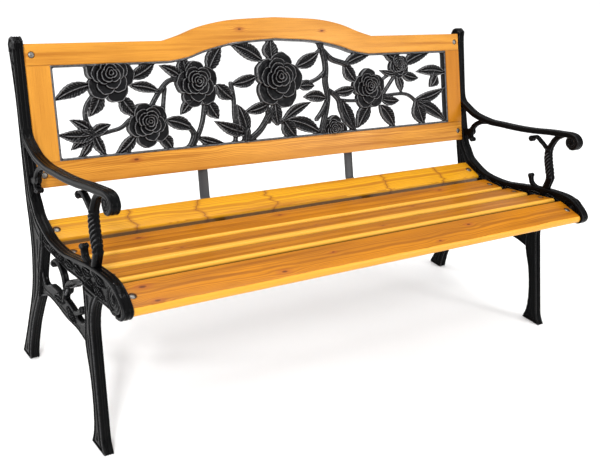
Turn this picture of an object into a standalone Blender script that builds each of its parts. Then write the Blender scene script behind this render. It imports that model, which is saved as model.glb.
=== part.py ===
"""Garden bench: two cast-iron end frames, five wooden seat slats and an arched wooden back
frame that holds a pierced cast-iron rose panel.

Frame: metres, +X along the bench, +Z up, the sitter faces -Y, the feet stand at Z = 0 and
the middle of the bench is at X = 0. Side profiles are given as (Y, Z) pairs. The back is
built in its own flat frame, X and height up the slope from the bottom edge of the opening,
and hangs on a tilted empty.
"""

import math

import bmesh
import bpy
from mathutils import Matrix, Vector

# ---------------------------------------------------------------- driving dimensions
BENCH_WIDTH = 1.270
CASTING_WIDTH = 0.022  # size of an end frame along X
OUTER_X = BENCH_WIDTH / 2
INNER_X = OUTER_X - CASTING_WIDTH
WEB_INSET = 0.003  # the pierced webs lie this far inside both faces of the casting
STRAP = 0.008  # thickness of the strap that edges the seat rail
CLEAR = 0.0003  # gap between pieces that touch
CUT_OVER = 0.010  # how far a drill or cutter runs past the face it cuts
HOLE_SIDES = 10
PILOT_SIDES = 8

TIMBER = 0.020
FRONT_NOSE = 0.0095  # edge radius of the front slat's nose
SLAT_NOSE = 0.005  # edge radius at the front of the other slats
SLAT_EASE = 0.002  # every other slat edge
SLAT_END_X = INNER_X - 0.0005
BOLT_X = 0.598
BOLT_R = 0.003
BOLT_HOLE_R = 0.0035
HEAD_R = 0.0065
HEAD_H = 0.0028
RECESS_R = 0.0072
RECESS_DEPTH = 0.003
NUT_R = 0.0058
NUT_H = 0.005
NUT_FLANGE_R = 0.0072
NUT_FLANGE_H = 0.0014
BOLT_CHAMFER = 0.0008
BOLT_END = 0.003  # thread showing past the nut
LUG_PLATE = 0.006
LUG_X = 0.578  # inner end of the lugs
LUG_ROOT = 0.008  # how far a lug runs into the casting
SEAT_LUG_HALF = 0.022
FRONT_LUG_HALF = 0.016
BACK_LUG_HALF = 0.019

BAR_X = 0.216
BAR_WIDTH = 0.025
BAR_THICK = 0.004
BAR_RISE = (-0.105, -0.054, -0.008)  # heights of the bar's last points, behind the back
SCREW_R = 0.0018
SCREW_HOLE_R = 0.0021
SCREW_HEAD_R = 0.004
SCREW_HEAD_H = 0.002
SCREW_SHANK = 0.009  # straight part in the wood
SCREW_POINT = 0.0115  # depth of the point in the wood
PILOT_DEPTH = 0.0135

BACK_FOOT = (0.174, 0.443)  # (Y, Z) of the opening's bottom edge on the front face
RECLINE = math.radians(18.46)
OPENING_HALF = 0.562
OPENING_SIDE = 0.196  # height of the opening at its straight ends
OPENING_RISE = 0.044  # what the arch adds in the middle
TOP_SIDE = 0.240  # height of the top rail's upper edge at its ends
TOP_RISE = 0.049
BOTTOM_RAIL = 0.051
# Half of each arch from the middle outwards: X, share of the rise.
OPENING_ARCH = (
    (0.0, 1.0), (0.100, 0.87), (0.150, 0.70), (0.200, 0.45), (0.240, 0.17), (0.285, 0.0),
)
CREST_ARCH = (
    (0.0, 1.0), (0.100, 0.92), (0.154, 0.81), (0.206, 0.59), (0.257, 0.24), (0.300, 0.0),
)
TENON_LENGTH = 0.022
TENON_WIDTH = 0.020
TENON_X = OPENING_HALF + 0.014
TENON_THICK = 0.008
RIM = 0.005
RIM_DEPTH = 0.018
RIM_GAP = 0.0005
RIM_BITE = 0.0013  # how far leaves and stems run into the rim

# Seat slats, front to back: middle of the top face (Y, Z), slope in degrees (front edge up is
# negative), width. Slat 1 is the front one, with a full-round nose.
SLATS = (
    (-0.2435, 0.3420, 13.0, 0.074),
    (-0.1565, 0.3425, -11.0, 0.067),
    (-0.0695, 0.3260, -9.5, 0.067),
    (0.0160, 0.3145, 0.0, 0.067),
    (0.1000, 0.3265, 19.0, 0.062),
)

# ---------------------------------------------------------------- end frame profile (Y, Z)
POST_REAR = (
    (0.191, 0.000), (0.172, 0.057), (0.156, 0.113), (0.144, 0.159), (0.139, 0.206),
    (0.145, 0.272), (0.160, 0.324), (0.176, 0.366), (0.194, 0.426), (0.212, 0.488),
    (0.232, 0.555), (0.254, 0.611), (0.278, 0.664),
)
POST_CAP = ((0.274, 0.677), (0.260, 0.684), (0.246, 0.677))
POST_FRONT = (
    (0.243, 0.650), (0.230, 0.606), (0.215, 0.554), (0.202, 0.510), (0.190, 0.478),
    (0.178, 0.445), (0.165, 0.413), (0.153, 0.386), (0.138, 0.368), (0.118, 0.349),
    (0.088, 0.336),
)
BACK_LEG_FRONT = (
    (0.087, 0.300), (0.092, 0.266), (0.096, 0.235), (0.097, 0.206), (0.101, 0.178),
    (0.1115, 0.152), (0.122, 0.125), (0.131, 0.100), (0.1385, 0.070), (0.145, 0.035),
    (0.1465, 0.000),
)
# The arm strap runs down the post, along the arm and round its scroll: (Y, Z, thickness).
ARM_STRAP = (
    (0.252, 0.677, 0.008), (0.246, 0.651, 0.008), (0.232, 0.605, 0.008),
    (0.216, 0.553, 0.008), (0.202, 0.510, 0.009), (0.191, 0.494, 0.011),
    (0.177, 0.486, 0.013), (0.154, 0.477, 0.014), (0.129, 0.471, 0.014),
    (0.079, 0.4695, 0.014), (0.037, 0.475, 0.014), (-0.015, 0.482, 0.014),
    (-0.067, 0.4915, 0.014), (-0.120, 0.504, 0.014), (-0.161, 0.512, 0.014),
    (-0.184, 0.5165, 0.013), (-0.201, 0.515, 0.012), (-0.2115, 0.504, 0.011),
    (-0.207, 0.491, 0.010), (-0.196, 0.487, 0.009), (-0.188, 0.493, 0.008),
)
SEAT_STRAP = (
    (0.190, 0.476), (0.1852, 0.4625), (0.170, 0.4255), (0.1535, 0.387), (0.140, 0.372),
    (0.122, 0.352), (0.0975, 0.340), (0.070, 0.330), (0.038, 0.3255), (-0.017, 0.328),
    (-0.069, 0.340), (-0.121, 0.3525), (-0.172, 0.361), (-0.223, 0.364), (-0.257, 0.353),
    (-0.280, 0.334), (-0.2735, 0.318), (-0.2555, 0.3135),
)
RAIL_WEB_LOWER = (
    (-0.256, 0.310), (-0.222, 0.309), (-0.190, 0.306), (-0.150, 0.300), (-0.110, 0.306),
    (-0.080, 0.306), (-0.033, 0.300), (0.020, 0.300), (0.070, 0.300), (0.104, 0.296),
)
FRONT_LEG_FRONT = (
    (-0.178, 0.316), (-0.160, 0.285), (-0.156, 0.245), (-0.170, 0.192), (-0.196, 0.104),
    (-0.212, 0.050), (-0.221, 0.022), (-0.236, 0.000),
)
FRONT_LEG_REAR = (
    (-0.177, 0.000), (-0.183, 0.031), (-0.177, 0.077), (-0.160, 0.134), (-0.132, 0.195),
    (-0.127, 0.240), (-0.120, 0.275), (-0.110, 0.312),
)
BRACE_LOWER = (
    (0.116, 0.170), (0.090, 0.184), (0.062, 0.197), (0.020, 0.199), (-0.033, 0.195),
    (-0.090, 0.197), (-0.140, 0.188),
)
BRACE_UPPER = (
    (-0.140, 0.236), (-0.122, 0.232), (-0.108, 0.224), (-0.085, 0.222), (-0.050, 0.230),
    (-0.010, 0.234), (0.030, 0.232), (0.050, 0.230), (0.072, 0.217), (0.092, 0.206),
    (0.116, 0.198),
)
# Strokes of one width: name, width, points.
BRANCHES = (
    ("leaf_branch", 0.011, ((-0.092, 0.306), (-0.062, 0.288), (-0.030, 0.268), (-0.014, 0.226))),
    ("rear_scroll", 0.009, ((-0.018, 0.250), (-0.006, 0.276), (0.018, 0.292), (0.036, 0.290),
                            (0.042, 0.280))),
    ("brace_curl", 0.010, ((-0.070, 0.226), (-0.084, 0.232), (-0.100, 0.245))),
    ("quarter_brace", 0.012, ((0.086, 0.467), (0.110, 0.4595), (0.128, 0.4475), (0.1385, 0.432),
                              (0.1415, 0.418), (0.138, 0.406))),
    ("brace_foot", 0.020, ((0.138, 0.424), (0.150, 0.417), (0.168, 0.413))),
    ("baluster_rear_arm", 0.007, ((-0.130, 0.456), (-0.105, 0.470), (-0.082, 0.480),
                                  (-0.070, 0.474))),
    ("baluster_base_curl", 0.009, ((-0.146, 0.360), (-0.124, 0.353), (-0.101, 0.359),
                                   (-0.093, 0.375))),
)
# The baluster under the arm: (Y, Z, width).
BALUSTER = (
    (-0.160, 0.509, 0.013), (-0.143, 0.494, 0.012), (-0.1325, 0.470, 0.013),
    (-0.130, 0.452, 0.017), (-0.136, 0.430, 0.019), (-0.147, 0.405, 0.019),
    (-0.1526, 0.390, 0.019), (-0.150, 0.372, 0.018), (-0.145, 0.350, 0.020),
)
# Round knobs and scroll eyes: middle (Y, Z), radius.
KNOBS = (
    ((0.130, 0.403), 0.0065),
    ((-0.069, 0.471), 0.008),
    ((0.041, 0.281), 0.008),
    ((-0.092, 0.377), 0.0065),
    ((-0.193, 0.500), 0.0075),
    ((-0.238, 0.338), 0.030),
    ((-0.099, 0.246), 0.008),
)

# ---------------------------------------------------------------- rose panel layout (X, height)
ROSES = (
    (-0.432, 0.168, 0.052), (-0.350, 0.060, 0.046), (-0.220, 0.141, 0.049),
    (0.004, 0.140, 0.062), (0.285, 0.106, 0.048), (0.393, 0.160, 0.027), (0.162, 0.006, 0.034),
)
# Leaves: root, tip, width.
LEAVES = (
    ((-0.476, 0.153), (-0.559, 0.124), 0.031), ((-0.455, 0.137), (-0.486, 0.086), 0.034),
    ((-0.482, 0.052), (-0.528, 0.081), 0.017), ((-0.480, 0.050), (-0.559, 0.054), 0.024),
    ((-0.482, 0.048), (-0.531, 0.022), 0.018), ((-0.484, 0.036), (-0.518, 0.000), 0.013),
    ((-0.478, 0.048), (-0.458, 0.000), 0.017), ((-0.480, 0.050), (-0.443, 0.066), 0.018),
    ((-0.410, 0.124), (-0.376, 0.080), 0.034), ((-0.383, 0.040), (-0.434, 0.001), 0.027),
    ((-0.382, 0.163), (-0.320, 0.197), 0.030), ((-0.384, 0.147), (-0.313, 0.129), 0.025),
    ((-0.254, 0.156), (-0.311, 0.188), 0.024), ((-0.246, 0.168), (-0.252, 0.204), 0.036),
    ((-0.236, 0.106), (-0.268, 0.076), 0.024), ((-0.304, 0.067), (-0.237, 0.041), 0.032),
    ((-0.196, 0.102), (-0.169, 0.060), 0.034), ((-0.322, 0.034), (-0.296, 0.000), 0.030),
    ((-0.228, 0.022), (-0.158, 0.003), 0.022), ((-0.188, 0.172), (-0.150, 0.226), 0.036),
    ((-0.168, 0.138), (-0.126, 0.102), 0.034), ((-0.060, 0.152), (-0.130, 0.138), 0.030),
    ((-0.040, 0.190), (-0.122, 0.228), 0.036), ((-0.012, 0.190), (-0.012, 0.240), 0.042),
    ((0.062, 0.172), (0.132, 0.205), 0.034), ((0.066, 0.124), (0.112, 0.122), 0.028),
    ((0.143, 0.091), (0.076, 0.097), 0.030), ((0.012, 0.046), (0.098, 0.084), 0.024),
    ((0.012, 0.045), (0.046, 0.000), 0.040), ((0.030, 0.044), (0.124, 0.004), 0.036),
    ((-0.012, 0.086), (-0.006, 0.032), 0.037), ((-0.028, 0.088), (-0.098, 0.072), 0.028),
    ((-0.096, 0.020), (-0.118, 0.092), 0.034), ((-0.092, 0.022), (-0.182, 0.057), 0.030),
    ((0.196, 0.078), (0.234, 0.002), 0.038), ((0.212, 0.172), (0.300, 0.196), 0.028),
    ((0.210, 0.170), (0.246, 0.124), 0.034), ((0.236, 0.109), (0.171, 0.104), 0.027),
    ((0.284, 0.064), (0.240, 0.008), 0.038), ((0.322, 0.062), (0.367, 0.000), 0.036),
    ((0.328, 0.078), (0.390, 0.071), 0.026), ((0.386, 0.140), (0.326, 0.153), 0.016),
    ((0.404, 0.140), (0.462, 0.126), 0.026), ((0.386, 0.136), (0.398, 0.092), 0.022),
    ((0.380, 0.176), (0.344, 0.196), 0.026), ((0.410, 0.164), (0.512, 0.196), 0.032),
    ((0.558, 0.138), (0.456, 0.143), 0.030), ((0.530, 0.130), (0.503, 0.100), 0.030),
    ((0.448, 0.068), (0.558, 0.096), 0.028), ((0.450, 0.064), (0.558, 0.004), 0.032),
    ((0.450, 0.066), (0.474, 0.000), 0.046),
)
# Stems: width, points.
STEMS = (
    (0.010, ((-0.466, 0.136), (-0.488, 0.112), (-0.494, 0.086), (-0.482, 0.052))),
    (0.009, ((-0.480, 0.046), (-0.440, 0.053), (-0.414, 0.059), (-0.394, 0.074))),
    (0.011, ((-0.340, 0.098), (-0.318, 0.128), (-0.290, 0.153), (-0.258, 0.155))),
    (0.009, ((-0.302, 0.136), (-0.308, 0.106), (-0.312, 0.076))),
    (0.013, ((-0.250, 0.050), (-0.238, 0.032), (-0.246, 0.010), (-0.256, 0.000))),
    (0.011, ((-0.204, 0.098), (-0.212, 0.062), (-0.224, 0.034), (-0.246, 0.000))),
    (0.010, ((-0.130, 0.140), (-0.125, 0.104), (-0.127, 0.066), (-0.124, 0.034), (-0.131, 0.000))),
    (0.020, ((-0.096, 0.026), (-0.100, 0.000))),
    (0.015, ((-0.030, 0.060), (-0.056, 0.028), (-0.088, 0.006))),
    (0.011, ((-0.034, 0.090), (-0.031, 0.044))),
    (0.010, ((-0.008, 0.038), (0.014, 0.046))),
    (0.015, ((0.134, 0.228), (0.146, 0.196), (0.150, 0.165), (0.146, 0.130), (0.151, 0.098),
             (0.146, 0.070), (0.136, 0.040), (0.122, 0.000))),
    (0.010, ((0.147, 0.156), (0.124, 0.140), (0.096, 0.131))),
    (0.008, ((0.124, 0.202), (0.140, 0.212))),
    (0.011, ((0.150, 0.086), (0.130, 0.058), (0.112, 0.040))),
    (0.014, ((0.146, 0.206), (0.170, 0.186), (0.202, 0.176), (0.216, 0.172))),
    (0.013, ((0.148, 0.112), (0.170, 0.100), (0.186, 0.082), (0.190, 0.058), (0.206, 0.034),
             (0.232, 0.000))),
    (0.009, ((0.184, 0.084), (0.216, 0.080), (0.252, 0.078))),
    (0.009, ((0.330, 0.086), (0.400, 0.088), (0.430, 0.080), (0.452, 0.062))),
    (0.009, ((0.336, 0.092), (0.376, 0.134))),
    (0.008, ((0.322, 0.122), (0.362, 0.142))),
)
# Half of a leaf: share of its length, share of its half width.
LEAF_SHAPE = ((0.0, 0.22), (0.22, 0.84), (0.48, 1.0), (0.76, 0.66), (0.98, 0.08))
LEAF_DEPTH = 0.007
ROSE_DEPTH = 0.012
STEM_DEPTH = 0.006
PANEL_SETBACK = 0.003  # from the wood's front face back to the flowers
LEAF_SETBACK = 0.002  # from the flowers' front back to the leaves
STEM_SETBACK = 0.0011
# Ears behind the wood, each with one screw: X, height, direction out of the opening.
EARS = (
    (-0.440, OPENING_SIDE, 1), (0.440, OPENING_SIDE, 1), (0.0, OPENING_SIDE + OPENING_RISE, 1),
    (-0.380, 0.0, -1), (0.380, 0.0, -1), (0.0, 0.0, -1),
)
EAR_WIDTH = 0.018
EAR_LENGTH = 0.020
EAR_THICK = 0.003
EAR_HOLE_AT = 0.012  # from the edge of the opening to the screw
EAR_ROOT = 0.004  # how far an ear and its neck reach into the opening
NECK_INSET = 0.001


# ---------------------------------------------------------------- shape helpers
def clear_scene():
    for obj in list(bpy.data.objects):
        bpy.data.objects.remove(obj)


def smooth(points, steps):
    """Points on a Catmull-Rom curve through the given points, with this many steps a span."""
    ends = [points[0]] + list(points) + [points[-1]]
    curve = []
    for a, b, c, d in zip(ends, ends[1:], ends[2:], ends[3:]):
        for i in range(steps):
            t = i / steps
            curve.append(tuple(
                0.5 * (2 * q + (r - p) * t + (2 * p - 5 * q + 4 * r - s) * t * t
                       + (3 * q - p - 3 * r + s) * t ** 3)
                for p, q, r, s in zip(a, b, c, d)
            ))
    curve.append(tuple(points[-1]))
    return curve


def stroke(points, width=None, steps=2):
    """Closed outline of a strip along a smooth centre line, of one width or one at each point."""
    if width:
        points = [(*point, width) for point in points]
    line = smooth(points, steps)
    left, right = [], []
    for i, (u, v, width) in enumerate(line):
        before, after = line[max(i - 1, 0)], line[min(i + 1, len(line) - 1)]
        du, dv = after[0] - before[0], after[1] - before[1]
        half = width / 2 / math.hypot(du, dv)
        left.append((u - dv * half, v + du * half))
        right.append((u + dv * half, v - du * half))
    return left + right[::-1]


def circle(middle, radius, sides):
    return [
        (middle[0] + radius * math.cos(math.tau * i / sides),
         middle[1] + radius * math.sin(math.tau * i / sides))
        for i in range(sides)
    ]


def rectangle(left, right, bottom, top):
    return [(left, bottom), (right, bottom), (right, top), (left, top)]


def area(outline):
    pairs = zip(outline, outline[1:] + outline[:1])
    return sum(a[0] * b[1] - b[0] * a[1] for a, b in pairs) / 2


def new_object(name, bm):
    bmesh.ops.recalc_face_normals(bm, faces=bm.faces)
    mesh = bpy.data.meshes.new(name)
    bm.to_mesh(mesh)
    bm.free()
    obj = bpy.data.objects.new(name, mesh)
    bpy.context.scene.collection.objects.link(obj)
    return obj


def prism(name, outline, low, high, place):
    """A closed prism: place(u, v, w) turns an outline point and a depth into a location."""
    if area(outline) < 0:
        outline = outline[::-1]
    bm = bmesh.new()
    near = [bm.verts.new(place(u, v, low)) for u, v in outline]
    far = [bm.verts.new(place(u, v, high)) for u, v in outline]
    bm.faces.new(near[::-1])
    bm.faces.new(far)
    for i in range(len(outline)):
        j = (i + 1) % len(outline)
        bm.faces.new((near[i], near[j], far[j], far[i]))
    return new_object(name, bm)


def along_x(u, v, w):
    """Outline in (Y, Z), depth along X."""
    return (w, u, v)


def in_back(u, v, w):
    """Outline in (X, height up the back), depth w behind the front face."""
    return (u, w, v)


def turned(name, rings, sides=HOLE_SIDES):
    """A solid turned round Z from (radius, Z) rings, closed at both ends."""
    bm = bmesh.new()
    loops = []
    for radius, z in rings:
        loops.append([bm.verts.new((x, y, z)) for x, y in circle((0, 0), radius, sides)])
    for lower, upper in zip(loops, loops[1:]):
        for i in range(sides):
            j = (i + 1) % sides
            bm.faces.new((lower[i], lower[j], upper[j], upper[i]))
    bm.faces.new(loops[0][::-1])
    bm.faces.new(loops[-1])
    return new_object(name, bm)


def box(name, low, high):
    outline = rectangle(low[0], high[0], low[1], high[1])
    return prism(name, outline, low[2], high[2], lambda u, v, w: (u, v, w))


def settle(obj):
    """Replaces an object's mesh by what its modifiers make of it."""
    graph = bpy.context.evaluated_depsgraph_get()
    mesh = bpy.data.meshes.new_from_object(obj.evaluated_get(graph))
    obj.modifiers.clear()
    obj.data = mesh


def combine(obj, others, operation):
    """Joins others to obj, or cuts them from it, and removes them."""
    for other in others:
        modifier = obj.modifiers.new(operation, "BOOLEAN")
        modifier.operation = operation
        modifier.object = other
        modifier.solver = "EXACT"
        bpy.context.view_layer.update()
        settle(obj)
        bpy.data.objects.remove(other)


def bake_place(obj, matrix):
    obj.data.transform(matrix)
    if matrix.determinant() < 0:
        obj.data.flip_normals()


def material(name, colour, roughness, metallic):
    made = bpy.data.materials.new(name)
    made.use_nodes = True
    shader = made.node_tree.nodes["Principled BSDF"]
    shader.inputs["Base Color"].default_value = (*colour, 1)
    shader.inputs["Roughness"].default_value = roughness
    shader.inputs["Metallic"].default_value = metallic
    return made


def finish(obj, look, round_piece=False):
    obj.data.materials.clear()
    obj.data.materials.append(look)
    if round_piece:
        obj.data.shade_smooth()
        obj.data.set_sharp_from_angle(angle=math.radians(35))


# ---------------------------------------------------------------- places on the bench
def slat_matrix(number):
    """The frame of a slat: origin in the middle of its top face, X along, Z out of the seat."""
    y, z, slope, _ = SLATS[number]
    return Matrix.Translation((0, y, z)) @ Matrix.Rotation(math.radians(slope), 4, "X")


def back_matrix():
    place = Matrix.Translation((0, *BACK_FOOT))
    return place @ Matrix.Rotation(-RECLINE, 4, "X")


def back_bolt_places():
    """(X, height) of the four bolts of the back frame."""
    heights = (-BOTTOM_RAIL / 2, (OPENING_SIDE + TOP_SIDE) / 2)
    return [(side * BOLT_X, height) for side in (-1, 1) for height in heights]


# ---------------------------------------------------------------- end frames
def frame_blanks():
    """The closed outlines of the right end frame with their depth range along X.

    Each member steps in a little from its neighbours, as the members of a casting do.
    """
    web = (INNER_X + WEB_INSET, OUTER_X - WEB_INSET)
    full = (INNER_X, OUTER_X)
    step = 0.0004
    rear = smooth(POST_REAR, 1) + smooth(POST_CAP, 2)
    post = rear + smooth(POST_FRONT, 1) + smooth(BACK_LEG_FRONT, 1)
    rail = smooth(SEAT_STRAP[4:-1], 1) + smooth(RAIL_WEB_LOWER, 1)
    front_leg = smooth(FRONT_LEG_FRONT, 2) + smooth(FRONT_LEG_REAR, 2)
    blanks = [
        ("post", post, (full[0] + step, full[1] - step)),
        ("rail", rail, web),
        ("front_leg", front_leg, (full[0] + 2 * step, full[1] - 2 * step)),
        ("brace", smooth(BRACE_LOWER, 1) + smooth(BRACE_UPPER, 1), (web[0] + step, web[1] - step)),
        ("arm_strap", stroke(ARM_STRAP), full),
        ("seat_strap", stroke(SEAT_STRAP, STRAP), (full[0] + 3 * step, full[1] - 3 * step)),
        ("baluster", stroke(BALUSTER, steps=1), (web[0] + 2 * step, web[1] - 2 * step)),
    ]
    for index, (name, width, points) in enumerate(BRANCHES):
        inset = (3 + index) * step
        blanks.append((name, stroke(points, width, 1), (web[0] + inset, web[1] - inset)))
    for index, (middle, radius) in enumerate(KNOBS):
        inset = (index + 0.5) * step
        blanks.append((f"knob_{index}", circle(middle, radius, 10), (web[0] + inset, web[1] - inset)))
    return blanks


def seat_lug(number):
    """The plate under one slat end, from the web inwards, and its bolt hole."""
    place = slat_matrix(number)
    top = -TIMBER - CLEAR
    bottom = top - LUG_PLATE
    half = SEAT_LUG_HALF if number else FRONT_LUG_HALF
    plate = box("lug", (LUG_X, -half, bottom), (INNER_X + LUG_ROOT, half, top))
    hole = turned("hole", [(BOLT_HOLE_R, bottom - CUT_OVER), (BOLT_HOLE_R, top + CUT_OVER)])
    bake_place(hole, Matrix.Translation((BOLT_X, 0, 0)))
    for piece in (plate, hole):
        bake_place(piece, place)
    return plate, hole


def back_lug(height):
    """The plate behind one rail end, and its bolt hole."""
    front = TIMBER + CLEAR
    rear = front + LUG_PLATE
    outline = rectangle(LUG_X, INNER_X + LUG_ROOT, height - BACK_LUG_HALF, height + BACK_LUG_HALF)
    plate = prism("lug", outline, front, rear, in_back)
    hole = prism("hole", circle((BOLT_X, height), BOLT_HOLE_R, HOLE_SIDES), front - CUT_OVER,
                 rear + CUT_OVER, in_back)
    for piece in (plate, hole):
        bake_place(piece, back_matrix())
    return plate, hole


def end_frame(name, look):
    pieces = [prism(label, outline, low, high, along_x) for label, outline, (low, high)
              in frame_blanks()]
    holes = []
    lugs = [seat_lug(number) for number in range(len(SLATS))]
    lugs += [back_lug(height) for _, height in back_bolt_places()[2:]]
    for plate, hole in lugs:
        pieces.append(plate)
        holes.append(hole)
    frame = pieces[0]
    frame.name = name
    combine(frame, pieces[1:], "UNION")
    combine(frame, holes, "DIFFERENCE")
    finish(frame, look)
    return frame


def mirrored(source, name, look):
    mesh = source.data.copy()
    obj = bpy.data.objects.new(name, mesh)
    bpy.context.scene.collection.objects.link(obj)
    bake_place(obj, Matrix.Scale(-1, 4, (1, 0, 0)))
    finish(obj, look)
    return obj


# ---------------------------------------------------------------- seat
def slat_outline(number):
    """Cross-section (across, up) with the top face at 0: eased edges, the front slat rounder."""
    half = SLATS[number][3] / 2
    nose = FRONT_NOSE if number == 0 else SLAT_NOSE
    ease = SLAT_EASE

    def corner(across, up, radius, start, count):
        angles = [start + math.pi / 2 * i / count for i in range(count + 1)]
        return [(across + radius * math.cos(a), up + radius * math.sin(a)) for a in angles]

    lower = nose if number == 0 else ease
    return (
        corner(half - ease, -ease, ease, 0, 1)
        + corner(-half + nose, -nose, nose, math.pi / 2, 3)
        + corner(-half + lower, -TIMBER + lower, lower, math.pi, 3 if number == 0 else 1)
        + corner(half - ease, -TIMBER + ease, ease, 1.5 * math.pi, 1)
    )


def seat_slat(number, look):
    slat = prism(f"seat_slat_{number + 1}", slat_outline(number), -SLAT_END_X, SLAT_END_X, along_x)
    cutters = []
    for x in (-BOLT_X, BOLT_X):
        hole = turned("hole", [(BOLT_HOLE_R, -TIMBER - CUT_OVER), (BOLT_HOLE_R, -RECESS_DEPTH),
                               (RECESS_R, -RECESS_DEPTH), (RECESS_R, CUT_OVER)])
        bake_place(hole, Matrix.Translation((x, 0, 0)))
        cutters.append(hole)
    for x in (-BAR_X, BAR_X):
        hole = turned("hole", [(SCREW_HOLE_R, -TIMBER - CUT_OVER),
                               (SCREW_HOLE_R, -TIMBER + PILOT_DEPTH)], PILOT_SIDES)
        bake_place(hole, Matrix.Translation((x, 0, 0)))
        cutters.append(hole)
    combine(slat, cutters, "DIFFERENCE")
    place = slat_matrix(number)
    slat.location = place.to_translation()
    slat.rotation_euler = place.to_euler()
    finish(slat, look)


# ---------------------------------------------------------------- support bars
def bar_path():
    """Middle line (Y, Z) of a support bar: under the slats, then up behind the bottom rail."""
    depth = -TIMBER - CLEAR - BAR_THICK / 2
    path = []
    for number in range(len(SLATS)):
        place = slat_matrix(number)
        reach = SLATS[number][3] / 2
        for across in (-reach if number else -reach / 2, reach):
            point = place @ Vector((0, across, depth))
            path.append((point.y, point.z))
    behind = TIMBER + CLEAR + BAR_THICK / 2
    for height in BAR_RISE:
        point = back_matrix() @ Vector((0, behind, height))
        path.append((point.y, point.z))
    return path


def support_bar(name, x, look):
    path = bar_path()
    bar = prism(name, mitred(path, BAR_THICK), x - BAR_WIDTH / 2, x + BAR_WIDTH / 2, along_x)
    holes = []
    for matrix in bar_screw_matrices(x):
        hole = turned("hole", [(SCREW_HOLE_R, -BAR_THICK - CUT_OVER), (SCREW_HOLE_R, CUT_OVER)],
                      PILOT_SIDES)
        bake_place(hole, matrix)
        holes.append(hole)
    combine(bar, holes, "DIFFERENCE")
    finish(bar, look)


def mitred(path, thickness):
    """Closed outline of a bent strip whose straight runs keep their thickness."""
    left, right = [], []
    for i, (u, v) in enumerate(path):
        before = Vector(path[i]) - Vector(path[i - 1]) if i else Vector(path[1]) - Vector(path[0])
        after = Vector(path[i + 1]) - Vector(path[i]) if i < len(path) - 1 else before
        normal = before.normalized() + after.normalized()
        normal = Vector((-normal.y, normal.x)).normalized()
        side = Vector((-before.y, before.x)).normalized()
        half = thickness / 2 / normal.dot(side)
        left.append((u + normal.x * half, v + normal.y * half))
        right.append((u - normal.x * half, v - normal.y * half))
    return left + right[::-1]


def bar_screw_matrices(x):
    """Frames of one bar's screws: origin on the wood's face, +Z into the wood."""
    frames = []
    for number in range(len(SLATS)):
        frames.append(slat_matrix(number) @ Matrix.Translation((x, 0, -TIMBER - CLEAR)))
    turn = Matrix.Rotation(math.pi / 2, 4, "X")
    height = -BOTTOM_RAIL / 2
    frames.append(back_matrix() @ Matrix.Translation((x, TIMBER + CLEAR, height)) @ turn)
    return frames


# ---------------------------------------------------------------- back frame
def arch(shape, low, rise):
    """Points of an arched edge from -X to +X: shape lists (X, share of the rise)."""
    right = smooth(shape, 2)
    points = [(-x, low + rise * share) for x, share in right[::-1]]
    return points + [(x, low + rise * share) for x, share in right[1:]]


def opening_outline(inset):
    """The opening of the back frame, smaller by inset all round."""
    half = OPENING_HALF - inset
    top = arch(OPENING_ARCH, OPENING_SIDE - inset, OPENING_RISE)
    return [(-half, inset), (-half, OPENING_SIDE - inset)] + top + [
        (half, OPENING_SIDE - inset), (half, inset)]


def rail_cutters(upper):
    """Bolt holes with their recess, mortises for the stiles, and pilot holes for the screws."""
    cutters = []
    for x, height in back_bolt_places():
        if (height > 0) != upper:
            continue
        hole = circle((x, height), BOLT_HOLE_R, HOLE_SIDES)
        recess = circle((x, height), RECESS_R, HOLE_SIDES)
        cutters.append(prism("hole", hole, -CUT_OVER, TIMBER + CUT_OVER, in_back))
        cutters.append(prism("recess", recess, -CUT_OVER, RECESS_DEPTH, in_back))
    edge, deep = (OPENING_SIDE, 1) if upper else (0.0, -1)
    for side in (-1, 1):
        x = side * TENON_X
        half = TENON_WIDTH / 2 + CLEAR
        ends = sorted((edge - deep * CUT_OVER, edge + deep * (TENON_LENGTH + CLEAR)))
        low = (TIMBER - TENON_THICK) / 2 - CLEAR
        cutters.append(prism("mortise", rectangle(x - half, x + half, *ends), low, TIMBER - low,
                             in_back))
    spots = [(x, height + out * EAR_HOLE_AT) for x, height, out in EARS if (out > 0) == upper]
    if not upper:
        spots += [(-BAR_X, -BOTTOM_RAIL / 2), (BAR_X, -BOTTOM_RAIL / 2)]
    for spot in spots:
        pilot = circle(spot, SCREW_HOLE_R, PILOT_SIDES)
        cutters.append(prism("pilot", pilot, TIMBER - PILOT_DEPTH, TIMBER + CUT_OVER, in_back))
    return cutters


def rail(name, outline, upper, look):
    obj = prism(name, outline, 0, TIMBER, in_back)
    combine(obj, rail_cutters(upper), "DIFFERENCE")
    finish(obj, look)
    return obj


def top_rail(look):
    lower = arch(OPENING_ARCH, OPENING_SIDE, OPENING_RISE)
    crest = arch(CREST_ARCH, TOP_SIDE, TOP_RISE)
    outline = [(-SLAT_END_X, OPENING_SIDE)] + lower + [(SLAT_END_X, OPENING_SIDE),
                                                       (SLAT_END_X, TOP_SIDE)]
    outline += crest[::-1] + [(-SLAT_END_X, TOP_SIDE)]
    return rail("back_top_rail", outline, True, look)


def bottom_rail(look):
    outline = rectangle(-SLAT_END_X, SLAT_END_X, -BOTTOM_RAIL, 0)
    return rail("back_bottom_rail", outline, False, look)


def stile(name, side, look):
    """An upright of the back frame with a tenon at each end."""
    near, far = sorted((side * OPENING_HALF, side * SLAT_END_X))
    body = box(name, (near, 0, CLEAR), (far, TIMBER, OPENING_SIDE - CLEAR))
    middle = side * TENON_X
    low = (TIMBER - TENON_THICK) / 2
    tenon = box("tenon", (middle - TENON_WIDTH / 2, low, -TENON_LENGTH),
                (middle + TENON_WIDTH / 2, TIMBER - low, OPENING_SIDE + TENON_LENGTH))
    combine(body, [tenon], "UNION")
    finish(body, look)
    return body


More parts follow.
